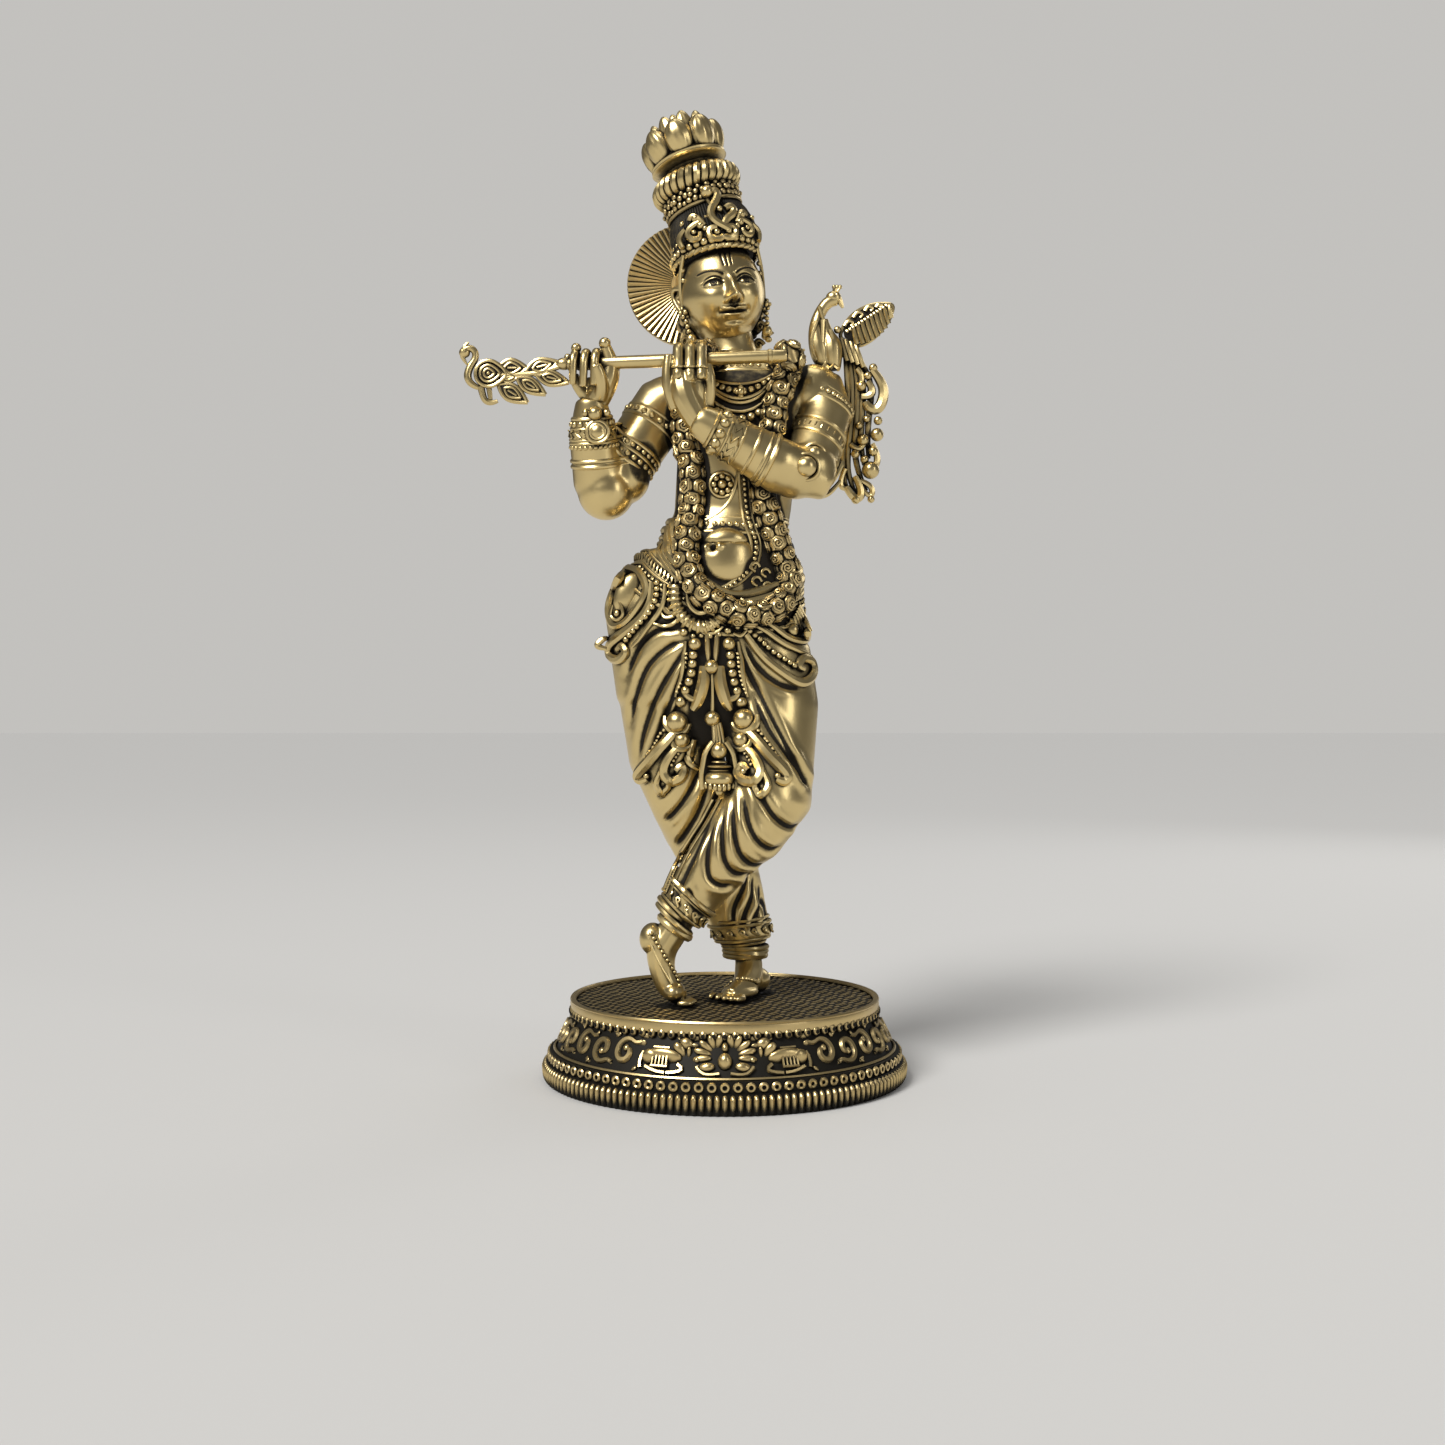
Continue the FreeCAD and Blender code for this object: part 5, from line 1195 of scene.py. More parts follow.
def evenly(run, gap):
    """Places at an even gap along a run, each with the run's direction there."""
    spots, walked, due = [], 0.0, 0.0
    for a, b in zip(run, run[1:]):
        step = (b - a).length
        while due <= walked + step:
            spots.append((a.lerp(b, (due - walked) / step), (b - a).normalized()))
            due += gap
        walked += step
    return spots


garland = blank()
line = rope_run()
wires(garland, [line], ROPE_THICK, sides=2, steps=1)
for k, (spot, ahead) in enumerate(evenly(line, 2.35)):
    out = place(0, -1, 0)
    out = (out - ahead * out.dot(ahead)).normalized()
    across = ahead.cross(out)
    for turn in range(-135, 226, 90) if k % 2 else range(-90, 181, 90):
        a = radians(turn)
        way = out * cos(a) + across * sin(a)
        rose(garland, spot + way * ROPE_THICK * 0.92, way, 1.62 - 0.08 * (k % 3), 2.3 * k + turn)
finished("rose_garland", garland, ["garland"], ANTIQUED, crease=50)


def sagging(x0, x1, z, drop, count=14, lean=0.0):
    """A necklace line between two shoulders: it sags by drop in the middle."""
    return [(x0 + (x1 - x0) * k / count, z + lean * (k / count - 0.5)
             - drop * (1 - (2 * k / count - 1) ** 2) ** 0.8)
            for k in range(count + 1)]


collar = bmesh.new()
NECK = (2.5, 0.8, 129.2)
banding(collar, NECK, (0, 0.25, 1), [("roll", 1.2, 0.4), ("pearls", 0.2, 0.5, 30), ("roll", -0.8, 0.35)],
        CHEST, 40)
for drop, radius in ((3.0, 0.32), (5.6, 0.32), (6.4, 0.3)):
    strap(collar, sagging(-3.6 - 0.14 * drop, 9.0 + 0.14 * drop, 129.4, drop), radius, 0.25, taper=False)
pearls(collar, sagging(-4.2, 9.6, 129.4, 4.3), 0.62, 0.3, 1.12)
diamond = front(2.9, 124.9, 0.5)
for dx, dz in ((0, 1.15), (0.95, 0), (0, -1.15), (-0.95, 0)):
    ball(collar, diamond + place(dx * 0.62, 0, dz * 0.62), (0.55, 0.5, 0.55))
ball(collar, diamond + place(0, -0.35, 0), (0.62, 0.5, 0.75))
finished("broad_collar", collar, ["collar"])

necklace = bmesh.new()
pearls(necklace, sagging(-6.2, 11.4, 129.4, 9.4), 0.78, 0.4, 1.06)
strap(necklace, sagging(-5.6, 10.8, 129.4, 8.0), 0.3, 0.2, taper=False)
finished("pearl_string", necklace, ["pearl_necklace"])

pendant = bmesh.new()
MIDDLE = front(-0.4, 108.3, 0.5, CHEST)
for a in turns(8):
    ball(pendant, MIDDLE + place(1.45 * cos(a), 0, 1.45 * sin(a)), 0.58)
ball(pendant, MIDDLE + place(0, -0.35, 0), 0.8)
hoop(pendant, MIDDLE, 2.25, 0.3, 0.25)
finished("flower_pendant", pendant, ["rosette_pendant"])

thread = bmesh.new()
THREAD = [(3.0, 112.5), (3.0, 108.0), (3.7, 101.7), (5.0, 97.6), (4.2, 93.6), (1.0, 90.2), (-1.6, 89.2)]
pearls(thread, [(x + 0.55, z) for x, z in THREAD], 0.46, 0.25, 1.08, CHEST)
for shift, radius in ((-0.35, 0.36), (1.35, 0.26)):
    run = laid([(x + shift, z) for x, z in THREAD], 0.25, 5, CHEST)
    wires(thread, [run], radius, sides=2, steps=1)
run = laid([(-3.4, 101.8), (-0.8, 103.4), (1.4, 106.4), (2.4, 110.4)], 0.2, 5, CHEST)
wires(thread, [run], 0.32, sides=2, steps=1)
finished("pearled_thread", thread, ["sacred_thread"])

# ---------------------------------------------------------------- arm jewellery
# Armlets, bracelets and rings are chased bands round the arms.  A round boss sits on the
# right bracelet and a curled flame on the left elbow.
ARMS = [BVHTree.FromBMesh(solids(node)) for node in ("right_arm", "left_arm")] + SKIN[1:]
RIGHT_FOREARM = (place(-22.6, -6.4, 108.0), place(-1.1, -4.4, 17.0))
LEFT_FOREARM = (place(14.0, -11.8, 109.2), place(-21.0, -3.6, 9.6))
for name, node, (centre, axis), rows in (
    ("bracelet_right", "right_bracelet", RIGHT_FOREARM, [
        ("pearls", 7.6, 0.46, 24), ("roll", 8.3, 0.34), ("roll", 8.9, 0.3), ("keys", 9.9, 1.5, 15),
        ("roll", 10.9, 0.3),
        ("pearls", 11.7, 0.62, 17), ("roll", 12.6, 0.42)]),
    ("ring_right", "right_forearm_ring", RIGHT_FOREARM, [("roll", 4.1, 0.42), ("roll", 5.1, 0.42)]),
    ("bracelet_left", "left_bracelet", LEFT_FOREARM, [
        ("roll", 10.4, 0.4), ("roll", 13.0, 0.32), ("keys", 14.3, 1.9, 13), ("roll", 15.7, 0.32),
        ("pearls", 17.0, 0.95, 12), ("roll", 18.3, 0.42)]),
    ("ring_left", "left_forearm_ring", LEFT_FOREARM, [("roll", 7.0, 0.55), ("roll", 8.2, 0.35)])):
    trim = bmesh.new()
    banding(trim, centre, axis, rows, ARMS[:1] if "right" in name else ARMS[1:2], 36, reach=6.6)
    finished(name, trim, [node])

RIGHT_UPPER = (place(-17.4, -2.7, 114.4), place(6.6, 2.4, 10.6))
LEFT_UPPER = (place(16.7, -5.2, 117.4), place(5.6, 4.4, 10.4))
for name, node, (centre, axis), rows in (
    ("armlet_right", "right_armlet", RIGHT_UPPER, [
        ("roll", -2.4, 0.42), ("pearls", -1.3, 0.6, 22), ("roll", -0.3, 0.36), ("pearls", 0.6, 0.5, 26),
        ("roll", 1.4, 0.4), ("roll", 6.2, 0.4), ("pearls", 7.2, 0.62, 19), ("roll", 8.2, 0.34)]),
    ("armlet_left", "left_armlet", LEFT_UPPER, [
        ("roll", -1.3, 0.42), ("bars", 0.1, 0.75, 22), ("roll", 1.5, 0.45), ("roll", 6.6, 0.4),
        ("pearls", 7.7, 0.62, 22), ("roll", 8.8, 0.34)])):
    trim = bmesh.new()
    banding(trim, centre, axis, rows, ARMS[:1] if "right" in name else ARMS[1:2], 36, reach=8.0)
    finished(name, trim, [node])

medallion = bmesh.new()
_, _, MIDDLE = box_of("bracelet_medallion")
for radius, proud in ((2.0, 0.0), (1.35, -0.15)):
    wires(medallion, [[MIDDLE + place(radius * cos(a), 0.5 + proud, radius * sin(a) - 1.4)
                       for a in turns(12)]],
          0.34, closed=True, sides=2)
ball(medallion, MIDDLE + place(0, 0.7, -1.4), (1.5, 0.9, 1.5), None, 3)
ball(medallion, MIDDLE + place(-0.4, 0.2, 1.8), 1.25, None, 3)
for dx in (-2.1, 1.6):
    ball(medallion, MIDDLE + place(dx, 0.9, 2.0), 0.75)
finished("boss_on_bracelet", medallion, ["bracelet_medallion"])

elbow = bmesh.new()
for x, z, size in ((15.9, 113.2, 1.35), (14.2, 110.6, 1.85)):
    spot = front(x, z, 0.3, ARMS[1:2])
    ball(elbow, spot, (size, size * 0.8, size), None, 3)
    hoop(elbow, spot, size + 0.55, 0.34, 0.5)
for line, radius in (
        ([(16.4, 113.4, -9.6), (18.4, 112.6, -9.2), (19.0, 110.4, -9.0), (17.6, 108.4, -9.6),
          (16.2, 108.2, -10.6)], 0.6),
        ([(16.2, 106.4, -10.4), (18.4, 107.6, -9.2), (20.2, 110.2, -8.4), (21.6, 113.2, -7.8),
          (20.4, 111.4, -8.0)], 0.55),
        ([(17.6, 109.6, -8.6), (19.6, 111.2, -8.0), (20.6, 113.6, -7.4)], 0.5),
        ([(15.2, 106.2, -11.2), (17.0, 105.8, -10.2), (19.2, 106.8, -9.0), (20.8, 109.0, -8.2)], 0.5)):
    wires(elbow, [[(place(x, y, z), 0.6 + 0.4 * sin(pi * (k + 0.5) / len(line)))
                   for k, (x, z, y) in enumerate(line)]], radius, sides=2, steps=5)
ball(elbow, place(19.4, -8.2, 112.0), (1.3, 0.8, 2.0), Matrix.Rotation(radians(20), 3, "Y"), 3)
finished("flame_on_elbow", elbow, ["elbow_ornament"])

# ---------------------------------------------------------------- flute and hands
# The flute is a straight bar with ringed ends, let into both hands.  The hands are cast
# with it: fingers curl over the bar, and the left fingertips hang in front of it.
LOW, HIGH, MIDDLE = box_of("flute")
FLUTE_A, FLUTE_B = place(LOW.x, MIDDLE.y, LOW.z + 1.2), place(HIGH.x, MIDDLE.y, HIGH.z - 1.2)
FLUTE_RADIUS = 1.15


def on_flute(x, around_it=0.0, away=0.0):
    """A place on the flute at x; the angle round it starts at the front, upwards positive."""
    middle = FLUTE_A.lerp(FLUTE_B, (x - FLUTE_A.x) / (FLUTE_B.x - FLUTE_A.x))
    return middle + place(0, -cos(around_it), sin(around_it)) * away


flute = bmesh.new()
ALONG = (FLUTE_B - FLUTE_A).to_track_quat("Z", "Y").to_matrix().to_4x4()
LENGTH = (FLUTE_B - FLUTE_A).length
profile = [(0.0, 0.0), (0.9, 0.0), (1.1, 0.25), (1.15, 0.8), (1.0, 1.0), (1.25, 1.3), (1.0, 1.7),
           (FLUTE_RADIUS, 2.0),
           (FLUTE_RADIUS, LENGTH - 3.4), (1.32, LENGTH - 3.2), (1.32, LENGTH - 2.7),
           (FLUTE_RADIUS, LENGTH - 2.5),
           (1.12, LENGTH - 0.5), (0.9, LENGTH), (0.5, LENGTH), (0.5, LENGTH - 2.0), (0.0, LENGTH - 2.0)]
rim = [flute.verts.new((radius, 0, height)) for radius, height in profile]
edges = [flute.edges.new(pair) for pair in zip(rim, rim[1:])]
bmesh.ops.spin(flute, geom=rim + edges, axis=(0, 0, 1), cent=(0, 0, 0), dvec=(0, 0, 0), angle=tau, steps=32,
               use_merge=True)
bmesh.ops.remove_doubles(flute, verts=flute.verts, dist=1e-4)
bmesh.ops.recalc_face_normals(flute, faces=flute.faces)
bmesh.ops.transform(flute, matrix=Matrix.Translation(FLUTE_A) @ ALONG, verts=flute.verts)
finished("flute_bar", flute, ["flute"])


def hand(name, node, palm, fingers, nails, rings):
    """A hand: swelling palm, tapering fingers, nails, and rings on the knuckles."""
    bm = bmesh.new()
    wires(bm, palm, 1.0, sides=4, steps=8)
    wires(bm, fingers, 1.0, sides=3, steps=8)
    skin = melted(bm, 0.15, 5, 0.04)
    for spot, size in nails:
        ball(skin, spot, size)
    for ring in rings:
        wires(skin, [ring], 0.24, closed=True, sides=2)
    finished(name, skin, [node], crease=60)


def digit(x, spread, start, end, away, fat, tip):
    """A finger bent round the flute from one angle to another, then reaching down to its tip."""
    bend = [(on_flute(x + spread * k / 5, start + (end - start) * k / 5, away), fat * (1.12 - 0.04 * k))
            for k in range(6)]
    return bend + [(spot, fat * thin) for spot, thin in tip]


WRIST_L, WRIST_R = place(-4.2, -15.0, 118.4), place(-23.8, -9.6, 122.0)
left_palm = [
    [(WRIST_L, 2.4), (place(-6.0, -15.0, 121.0), 2.6), (place(-7.2, -14.8, 124.0), 2.7),
     (place(-7.4, -14.2, 126.6), 2.4), (place(-7.0, -13.6, 128.6), 1.8)],
    [(place(-5.0, -14.8, 119.8), 2.0), (place(-5.2, -14.6, 123.0), 2.2), (place(-5.2, -13.8, 126.4), 2.0)]]
left_fingers = [digit(x, spread, radians(150), radians(15), 2.25, fat, [
    (place(x + spread * 1.1, -15.9, 128.2), 1.0), (place(x + spread * 1.15, -16.3, drop), 1.0)])
    for x, spread, fat, drop in ((-8.3, 0.1, 0.95, 126.0), (-6.3, 0.15, 1.0, 125.4),
                                 (-4.2, 0.1, 0.98, 125.8))]
left_fingers.append([(place(-8.6, -14.4, 121.0), 1.2), (place(-9.9, -14.8, 124.0), 1.15),
                     (place(-10.2, -15.0, 127.4), 1.0), (place(-9.9, -14.8, 130.2), 0.85)])
left_fingers.append([(place(-3.0, -14.6, 121.4), 1.0), (place(-2.4, -15.2, 123.8), 0.95),
                     (place(-2.6, -15.6, 126.6), 0.9), (place(-3.0, -15.0, 128.4), 0.8)])
hand("hand_left", "left_hand", left_palm, left_fingers,
     [(place(x, -17.15, z), (0.6, 0.22, 0.85)) for x, z in ((-8.2, 126.6), (-6.1, 126.2), (-4.1, 126.5))],
     [[place(x + 1.05 * cos(a), -16.0 + 1.05 * sin(a), 127.9) for a in turns(10)]
      for x in (-8.2, -6.2, -4.1)])
right_palm = [
    [(WRIST_R, 2.3), (place(-22.6, -10.4, 124.0), 2.4), (place(-21.0, -11.2, 126.4), 2.1),
     (place(-20.3, -11.4, 128.8), 1.7), (place(-20.7, -12.0, 130.8), 1.25),
     (place(-21.3, -12.6, 132.4), 1.0)],
    [(place(-23.6, -9.8, 122.8), 2.2), (place(-23.4, -9.6, 125.4), 2.0), (place(-23.2, -9.8, 127.2), 1.5)]]
right_fingers = [
    digit(-22.6, -0.4, radians(150), radians(0), 2.0, 0.78,
          [(place(-23.1, -14.2, 127.2), 0.95), (place(-23.2, -14.0, 125.2), 0.8)]),
    digit(-24.4, -0.5, radians(155), radians(0), 2.0, 0.78,
          [(place(-25.0, -14.1, 127.0), 0.95), (place(-25.1, -13.8, 125.0), 0.8)]),
    digit(-26.3, -0.5, radians(155), radians(5), 2.0, 0.74,
          [(place(-26.9, -14.0, 127.0), 0.95), (place(-26.9, -13.6, 125.4), 0.8)]),
    [(place(-22.2, -11.6, 123.4), 1.2), (place(-21.6, -13.3, 125.0), 1.1),
     (place(-21.9, -14.2, 127.0), 0.95),
     (place(-22.6, -14.6, 128.6), 0.75)],
    [(place(-24.6, -10.4, 123.6), 1.1), (place(-26.6, -10.8, 125.6), 1.0),
     (place(-27.0, -11.2, 127.6), 0.9)]]
hand("hand_right", "right_hand", right_palm, right_fingers,
     [(place(-26.4, -12.6, 132.0), (0.95, 0.95, 0.95)), (place(-21.3, -12.9, 132.8), (1.1, 1.1, 1.1)),
      (place(-27.9, -12.4, 130.4), (0.7, 0.7, 0.7))], [])

# ---------------------------------------------------------------- birds
# A small flat peacock is soldered to the flute's end, and a larger one stands on the left
# shoulder: body, wing and long tail are three castings.
finial = blank()
LOW, HIGH, MIDDLE = box_of("flute_finial")
FLAT = MIDDLE.y
BREAST = place(-42.0, FLAT, 127.5)
darken(finial, ball(finial, BREAST, (2.2, 0.75, 2.2), None, 3))
for size, radius in ((2.35, 0.36), (1.5, 0.26), (0.8, 0.24)):
    wires(finial, [[BREAST + place((size + 0.9 * (size / 2.35) * max(0, cos(a)) ** 6) * cos(a),
                                   -0.42 - 0.16 * (2.4 - size),
                                     size * sin(a)) for a in turns(16)]],
          radius, closed=True, sides=2)
ball(finial, BREAST + place(0, -0.7, 0), 0.36)
wires(finial, [[(place(x, FLAT, z), f) for x, z, f in (
    (-43.3, 124.9, 0.6), (-44.9, 125.4, 1.0), (-45.9, 126.9, 1.15), (-45.4, 128.7, 1.1),
    (-44.3, 130.2, 1.0),
    (-44.4, 131.6, 1.0), (-45.6, 132.3, 1.0), (-46.6, 131.6, 1.0))]], 0.62, sides=3, steps=6)
ball(finial, place(-46.3, FLAT, 131.3), (1.0, 0.85, 0.95), None, 3)
ball(finial, place(-46.5, FLAT - 0.75, 131.6), 0.25, None, 1)
wires(finial, [[(place(-46.7, FLAT, 130.7), 1.2), (place(-46.3, FLAT, 129.7), 0.8),
                (place(-45.7, FLAT, 129.0), 0.3)],
               [(place(-46.4, FLAT, 132.0), 0.9), (place(-46.2, FLAT, 132.8), 0.9),
                (place(-45.5, FLAT, 133.1), 0.4)]],
      0.38, sides=2)
LEGS = [
    [(-43.4, 125.2, 1.2), (-43.1, 123.8, 1.1), (-42.6, 122.6, 1.0), (-41.4, 122.3, 0.9),
     (-40.4, 122.7, 0.6)],
    [(-42.0, 125.2, 0.9), (-41.8, 124.0, 0.9), (-41.7, 122.9, 0.7)]]
wires(finial, [[(place(x, FLAT, z), f) for x, z, f in leg] for leg in LEGS], 0.55, sides=2)


def feather(bm, foot_at, tip_at, wide):
    """A leaf-shaped feather in the finial's plane: a plate, two outlines and a rib."""
    run = tip_at - foot_at
    rise = place(-run.z, 0, run.x).normalized()
    plate = ball(bm, foot_at + run * 0.5, (run.length * 0.46, 0.42, wide * 0.86),
                 Matrix.Rotation(atan2(-run.z, run.x), 3, "Y"), 3)
    darken(bm, [vert for vert in plate if vert.co.y < FLAT + 0.1])
    for share, radius, proud in ((1.0, 0.36, 0.0), (0.56, 0.24, 0.38)):
        start, end = foot_at + run * (0.5 - 0.5 * share), foot_at + run * (0.5 + 0.52 * share)
        half = end - start
        for flip in (-1, 1):
            wires(bm, [[start, start + half * 0.22 + rise * flip * wide * share * 0.85, start + half * 0.62
                        + rise * flip * wide * share * 0.95, end] if share == 1.0 else
                       [spot + place(0, -proud, 0) for spot in
                        (start, start + half * 0.25 + rise * flip * wide * share, start + half * 0.65
                         + rise * flip * wide * share * 0.9, end)]], radius, sides=2, steps=5)
    wires(bm, [[foot_at + run * 0.35 + place(0, -0.42, 0), foot_at + run * 0.65 + place(0, -0.42, 0)]],
          0.22, sides=2)


for x0, z0, x1, z1, wide in ((-40.4, 128.5, -35.2, 128.5, 1.75), (-35.4, 128.0, -29.7, 129.6, 1.55),
                             (-37.0, 126.9, -32.0, 123.9, 1.35), (-33.6, 127.4, -27.9, 126.0, 1.35),
                             (-40.3, 125.6, -35.2, 122.5, 1.55), (-39.9, 126.8, -36.9, 126.9, 0.8)):
    feather(finial, place(x0, FLAT, z0), place(x1, FLAT, z1), wide)
wires(finial, [[place(-40.0, FLAT, 127.2), place(-36.5, FLAT, 127.4), place(-33.0, FLAT, 127.6),
                place(-28.0, FLAT, 129.3)]], 0.5, sides=2)
ball(finial, place(-28.6, FLAT, 129.3), (1.5, 1.1, 1.1), None, 3)
finished("peacock_finial", finial, ["flute_finial"])

bird = bmesh.new()
PERCH_Y = 0.6


def perch(x, z, y=0.0):
    """A place on the shoulder bird."""
    return place(x, PERCH_Y + y, z)


wires(bird, [[(perch(19.4, 130.6), 0.9), (perch(18.0, 132.4), 1.6), (perch(17.4, 135.0), 1.85),
              (perch(16.9, 137.8), 1.45),
              (perch(17.1, 140.0), 1.15), (perch(18.1, 142.2), 1.05), (perch(19.6, 143.8), 1.15),
              (perch(21.0, 143.6), 0.9)],
             [(perch(20.2, 130.8), 1.3), (perch(20.0, 133.0), 1.9), (perch(19.9, 135.6), 1.9),
              (perch(18.9, 137.6), 1.1),
              (perch(18.2, 140.0), 1.0)],
             [(perch(20.4, 134.0, 1.4), 1.3), (perch(21.6, 134.6, 1.2), 1.2),
              (perch(22.8, 134.8, 1.2), 1.0)]], 1.0,
      sides=4, steps=6)
bird = melted(bird, 0.18, 3, 0.03)
ball(bird, perch(20.2, 144.2), (1.45, 1.15, 1.25), None, 3)
wires(bird, [[(perch(21.0, 144.0), 1.5), (perch(21.6, 143.2), 1.1), (perch(21.9, 142.3), 0.5)]],
      0.5, sides=2)
for k in range(3):
    wires(bird, [[(perch(20.3 + 0.2 * k, 145.0), 1), (perch(20.3 + 0.5 * k, 146.0), 1)]], 0.3, sides=1)
    ball(bird, perch(20.3 + 0.55 * k, 146.2), 0.42)
ball(bird, perch(20.7, 144.6, -0.95), 0.26, None, 1)
ball(bird, perch(20.9, 138.2, -0.2), 0.72)
for line in ([(17.0, 139.6), (16.1, 137.0), (16.0, 134.4), (17.0, 132.4)],
             [(18.1, 139.8), (18.1, 137.0), (18.0, 134.4), (18.3, 132.6)],
             [(19.4, 138.0), (20.1, 136.0), (20.2, 133.6)], [(17.4, 142.2), (17.9, 140.8), (18.4, 139.4)]):
    wires(bird, [[(perch(x, z, -1.35 + 0.1 * k), 1 - 0.12 * k) for k, (x, z) in enumerate(line)]],
          0.44, sides=2)
for x in (18.6, 20.2):
    wires(bird, [[perch(x, 132.2, -0.9), perch(x + 0.1, 131.2, -1.3), perch(x - 0.9, 130.6, -2.0)],
                 [perch(x + 0.1, 131.2, -1.3), perch(x + 0.8, 130.5, -2.0)]], 0.42, sides=2)
finished("peacock_on_shoulder", bird, ["peacock_body"])

wing = blank()
ROOT, TIP = place(21.4, 1.2, 136.6), place(31.0, 0.8, 142.8)
run = TIP - ROOT
rise = place(-run.z, 0, run.x).normalized()


def on_wing(share, across, proud=0.0):
    """A place on the wing: share of its length, across it (up positive), towards the front."""
    return ROOT + run * share + rise * across + place(0, -proud, 0)


membrane = ball(wing, on_wing(0.54, -0.2), (run.length * 0.46, 0.5, 2.9),
                Matrix.Rotation(atan2(-run.z, run.x), 3, "Y"), 3)
darken(wing, [vert for vert in membrane if vert.co.y < ROOT.y - 0.1])
wires(wing, [[on_wing(s, w) for s, w in ((0.0, 0.3), (0.16, 1.7), (0.42, 2.7), (0.72, 2.3), (0.93, 0.9),
                                         (1.03, -0.1),
                                         (0.93, -1.3), (0.70, -2.7), (0.42, -3.4), (0.18, -3.0),
                                         (0.10, -1.4))]],
      0.40, closed=True, sides=2, steps=4)
for k in range(9):
    share = 0.22 + 0.086 * k
    deep = -3.5 * sin(pi * min(0.9, 0.22 + 0.08 * k)) ** 0.7
    wires(wing, [[(on_wing(share + 0.05, 0.2, 0.45), 0.8), (on_wing(share, deep * 0.5, 0.6), 1.15),
                  (on_wing(share - 0.03, deep, 0.35), 1.0)]], 0.5, sides=2, steps=4)
for k in range(14):
    ball(wing, on_wing(0.16 + 0.058 * k, 0.45, 0.55), 0.42, None, 1)
for share, across, size in ((0.26, 1.2, 0.9), (0.46, 1.6, 0.95), (0.66, 1.5, 0.8), (0.82, 1.0, 0.55)):
    wires(wing, [[(on_wing(share + 0.1 * r * cos(a), across + r * sin(a), 0.5), 1.1 - 0.08 * k)
                  for k, (a, r) in enumerate((2.8 - 0.9 * j, size * (1.05 - 0.14 * j)) for j in range(6))]],
          0.36, sides=2, steps=3)
for across, drop in ((0.0, 0.0), (0.9, 0.3), (1.8, 0.7), (2.7, 1.2)):
    wires(wing, [[(place(21.6 + across, 0.9, 136.8 - drop), 0.7),
                  (place(21.9 + across * 1.1, 0.4, 134.8 - drop), 1.1),
                  (place(22.8 + across * 1.1, 0.8, 132.6 - drop), 0.8)]], 0.5, sides=2, steps=4)
finished("peacock_feathered_wing", wing, ["peacock_wing"])

tail = bmesh.new()
TAIL_Y = 2.2


def hung(x, z, proud=0.0):
    """A place in the tail, towards the front by proud."""
    return place(x, TAIL_Y - proud, z)


for line in (
        [(22.4, 134.4), (22.8, 130.0), (23.0, 125.0), (22.4, 119.6), (21.8, 114.4), (22.2, 110.4),
         (23.0, 108.6)],
        [(23.0, 134.4), (23.8, 130.0), (23.8, 125.0), (23.4, 119.6), (22.8, 114.4), (23.2, 110.6),
         (24.4, 108.0)],
        [(23.8, 134.0), (24.8, 130.0), (24.8, 125.0), (24.4, 120.0), (24.2, 115.4), (25.2, 111.0),
         (26.4, 108.6)],
        [(24.6, 133.4), (25.8, 129.8), (25.8, 125.4), (25.4, 120.6), (25.4, 116.6), (26.0, 113.4)],
        [(25.0, 133.2), (26.8, 130.6), (27.4, 126.6), (26.8, 122.4), (26.6, 118.0), (26.8, 114.6)]):
    wires(tail, [[(hung(x, z, 0.25 * (k % 2)), 0.8 + 0.45 * sin(pi * k / (len(line) - 1)))
                  for k, (x, z) in enumerate(line)]], 0.52, sides=2, steps=4)
for line, radius in (
        ([(27.4, 131.0), (29.2, 128.8), (29.7, 126.2), (28.6, 123.4), (26.6, 123.8), (26.2, 125.0)], 0.92),
        ([(26.6, 128.8), (27.6, 127.4), (27.0, 125.9), (25.4, 126.0)], 0.72),
        ([(24.6, 131.2), (25.8, 130.0), (25.4, 128.6)], 0.55),
        ([(22.6, 109.2), (24.0, 106.9), (25.4, 107.4), (25.2, 109.4), (24.2, 111.2)], 0.78),
        ([(25.2, 110.4), (26.8, 109.8), (27.6, 108.4), (27.0, 107.2), (25.8, 108.6)], 0.52),
        ([(22.4, 112.6), (21.4, 110.4), (21.8, 108.8), (22.8, 109.0)], 0.5),
        ([(27.4, 117.2), (28.6, 115.0), (28.0, 112.6), (26.2, 112.4)], 0.6),
        ([(23.4, 117.2), (24.6, 116.0), (26.0, 117.0), (26.4, 118.6)], 0.5)):
    wires(tail, [[(hung(x, z, 1.0), 0.7 + 0.4 * sin(pi * (k + 0.6) / len(line)))
                  for k, (x, z) in enumerate(line)]],
          radius, sides=2, steps=5)
for x, z, size in ((27.6, 131.3, 0.85), (26.6, 129.8, 0.8), (25.4, 127.9, 0.95), (29.8, 127.5, 0.5),
                   (28.5, 121.5, 0.85),
                   (28.3, 118.9, 1.25), (25.7, 117.9, 1.1), (27.6, 115.8, 0.95), (24.3, 115.3, 0.85),
                   (26.0, 114.3, 0.85),
                   (27.1, 112.3, 1.65), (20.7, 113.4, 1.15), (25.0, 120.6, 0.7), (26.4, 121.8, 0.65),
                   (27.2, 106.9, 0.7),
                   (24.4, 106.9, 0.9)):
    ball(tail, hung(x, z, 1.1), size, None, 3 if size > 0.9 else 2)
finished("peacock_falling_tail", tail, ["peacock_tail"])

# ---------------------------------------------------------------- screws under the pedestal
# The figure is held by screws from inside the hollow pedestal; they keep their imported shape.
fixing_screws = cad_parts["fixing_screws"]
fixing_screws.data.materials.clear()
fixing_screws.data.materials.append(ANTIQUED)

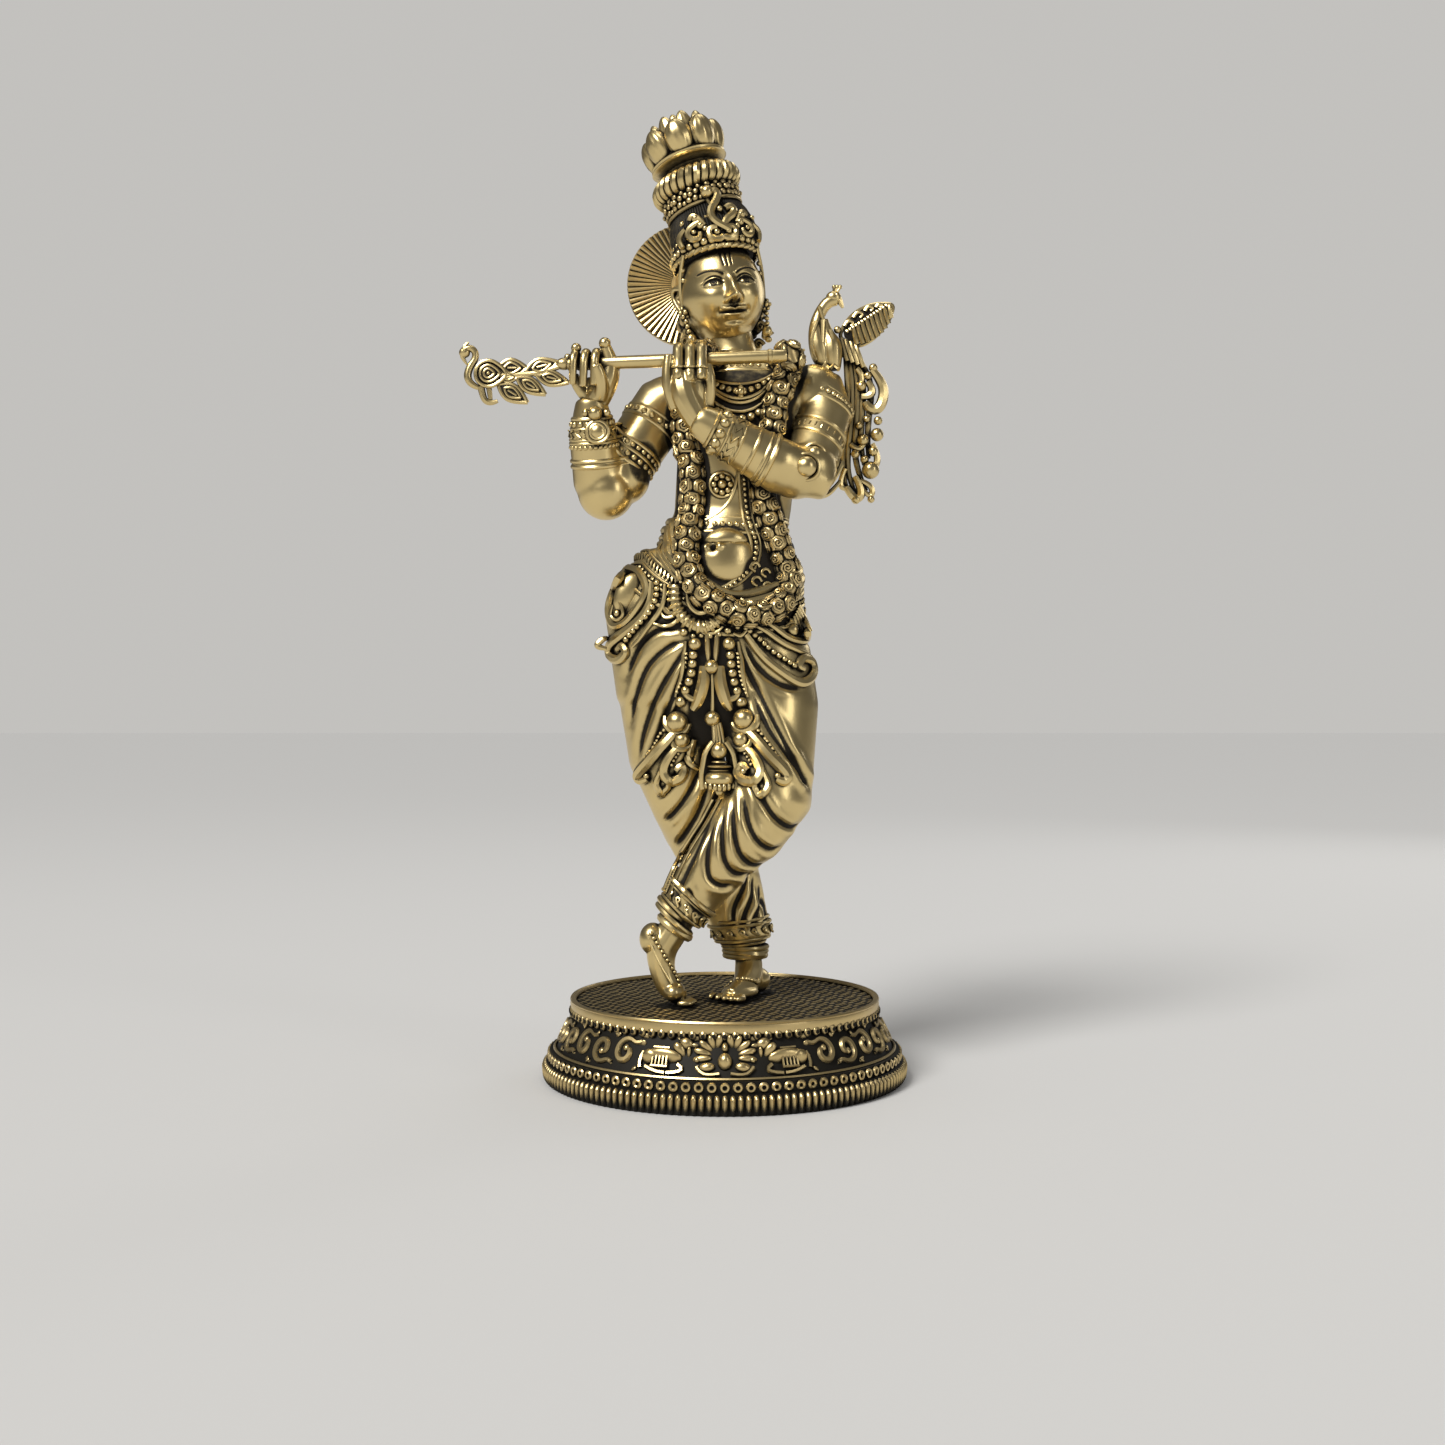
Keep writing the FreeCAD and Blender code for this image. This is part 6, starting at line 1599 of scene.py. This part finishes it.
# ---------------------------------------------------------------- stage
# A plain pale floor and backdrop, large soft lamps, and a camera level with the waist.
BACKDROP = bpy.data.materials.new("backdrop")
BACKDROP.use_nodes = True
matt = BACKDROP.node_tree.nodes["Principled BSDF"]
matt.inputs["Base Color"].default_value = (0.545, 0.535, 0.515, 1)
matt.inputs["Roughness"].default_value = 0.9
bpy.ops.mesh.primitive_plane_add(size=12)
floor = bpy.context.object
floor.name = "floor"
floor.data.materials.append(BACKDROP)


def lamp(name, where, aim, size, power, tint=(1, 1, 1)):
    """A soft rectangular lamp aimed at a point."""
    light = bpy.data.lights.new(name, "AREA")
    light.shape = "RECTANGLE"
    light.size, light.size_y = size
    light.energy = power
    light.color = tint
    made = bpy.data.objects.new(name, light)
    made.location = where
    made.rotation_euler = (Vector(aim) - Vector(where)).to_track_quat("-Z", "Y").to_euler()
    bpy.context.scene.collection.objects.link(made)


CENTRE = (0, 0, 0.09)
lamp("key", (-0.45, -0.55, 0.62), CENTRE, (0.22, 0.22), 0.85, (1.0, 0.98, 0.95))
lamp("fill", (0.62, -0.50, 0.30), CENTRE, (0.16, 0.38), 0.6)
lamp("top", (0.05, 0.10, 0.75), CENTRE, (0.30, 0.22), 0.45)
lamp("rim", (0.40, 0.50, 0.35), CENTRE, (0.18, 0.33), 0.35)
window = bpy.data.lights.new("window", "SUN")
window.angle = radians(24)
window.energy = 2.9
daylight = bpy.data.objects.new("window", window)
daylight.rotation_euler = (radians(46), 0, radians(-38))
bpy.context.scene.collection.objects.link(daylight)

world = bpy.data.worlds.new("studio")
bpy.context.scene.world = world
world.use_nodes = True
sky = world.node_tree
room = sky.nodes["Background"]
room.inputs["Color"].default_value = (0.36, 0.36, 0.36, 1)
dim = add_node(sky, "Background", {"Color": (0.11, 0.11, 0.115, 1)})
pale = add_node(sky, "Background", {"Color": (0.545, 0.535, 0.515, 1)})
rays = add_node(sky, "LightPath", {})
glossy = add_node(sky, "MixShader", {"Fac": rays.outputs["Is Glossy Ray"], 1: room.outputs[0],
                                     2: dim.outputs[0]})
seen = add_node(sky, "MixShader", {"Fac": rays.outputs["Is Camera Ray"], 1: glossy.outputs[0],
                                   2: pale.outputs[0]})
sky.links.new(seen.outputs[0], sky.nodes["World Output"].inputs["Surface"])

camera = bpy.data.objects.new("camera", bpy.data.cameras.new("camera"))
camera.data.lens = 42.35
camera.data.sensor_width = 36
camera.data.clip_start = 0.01
camera.location = (-0.0004, -0.315, 0.0668)
camera.rotation_euler = (radians(89.75), 0, 0)
bpy.context.scene.collection.objects.link(camera)
bpy.context.scene.camera = camera
bpy.context.scene.view_settings.view_transform = "Standard"
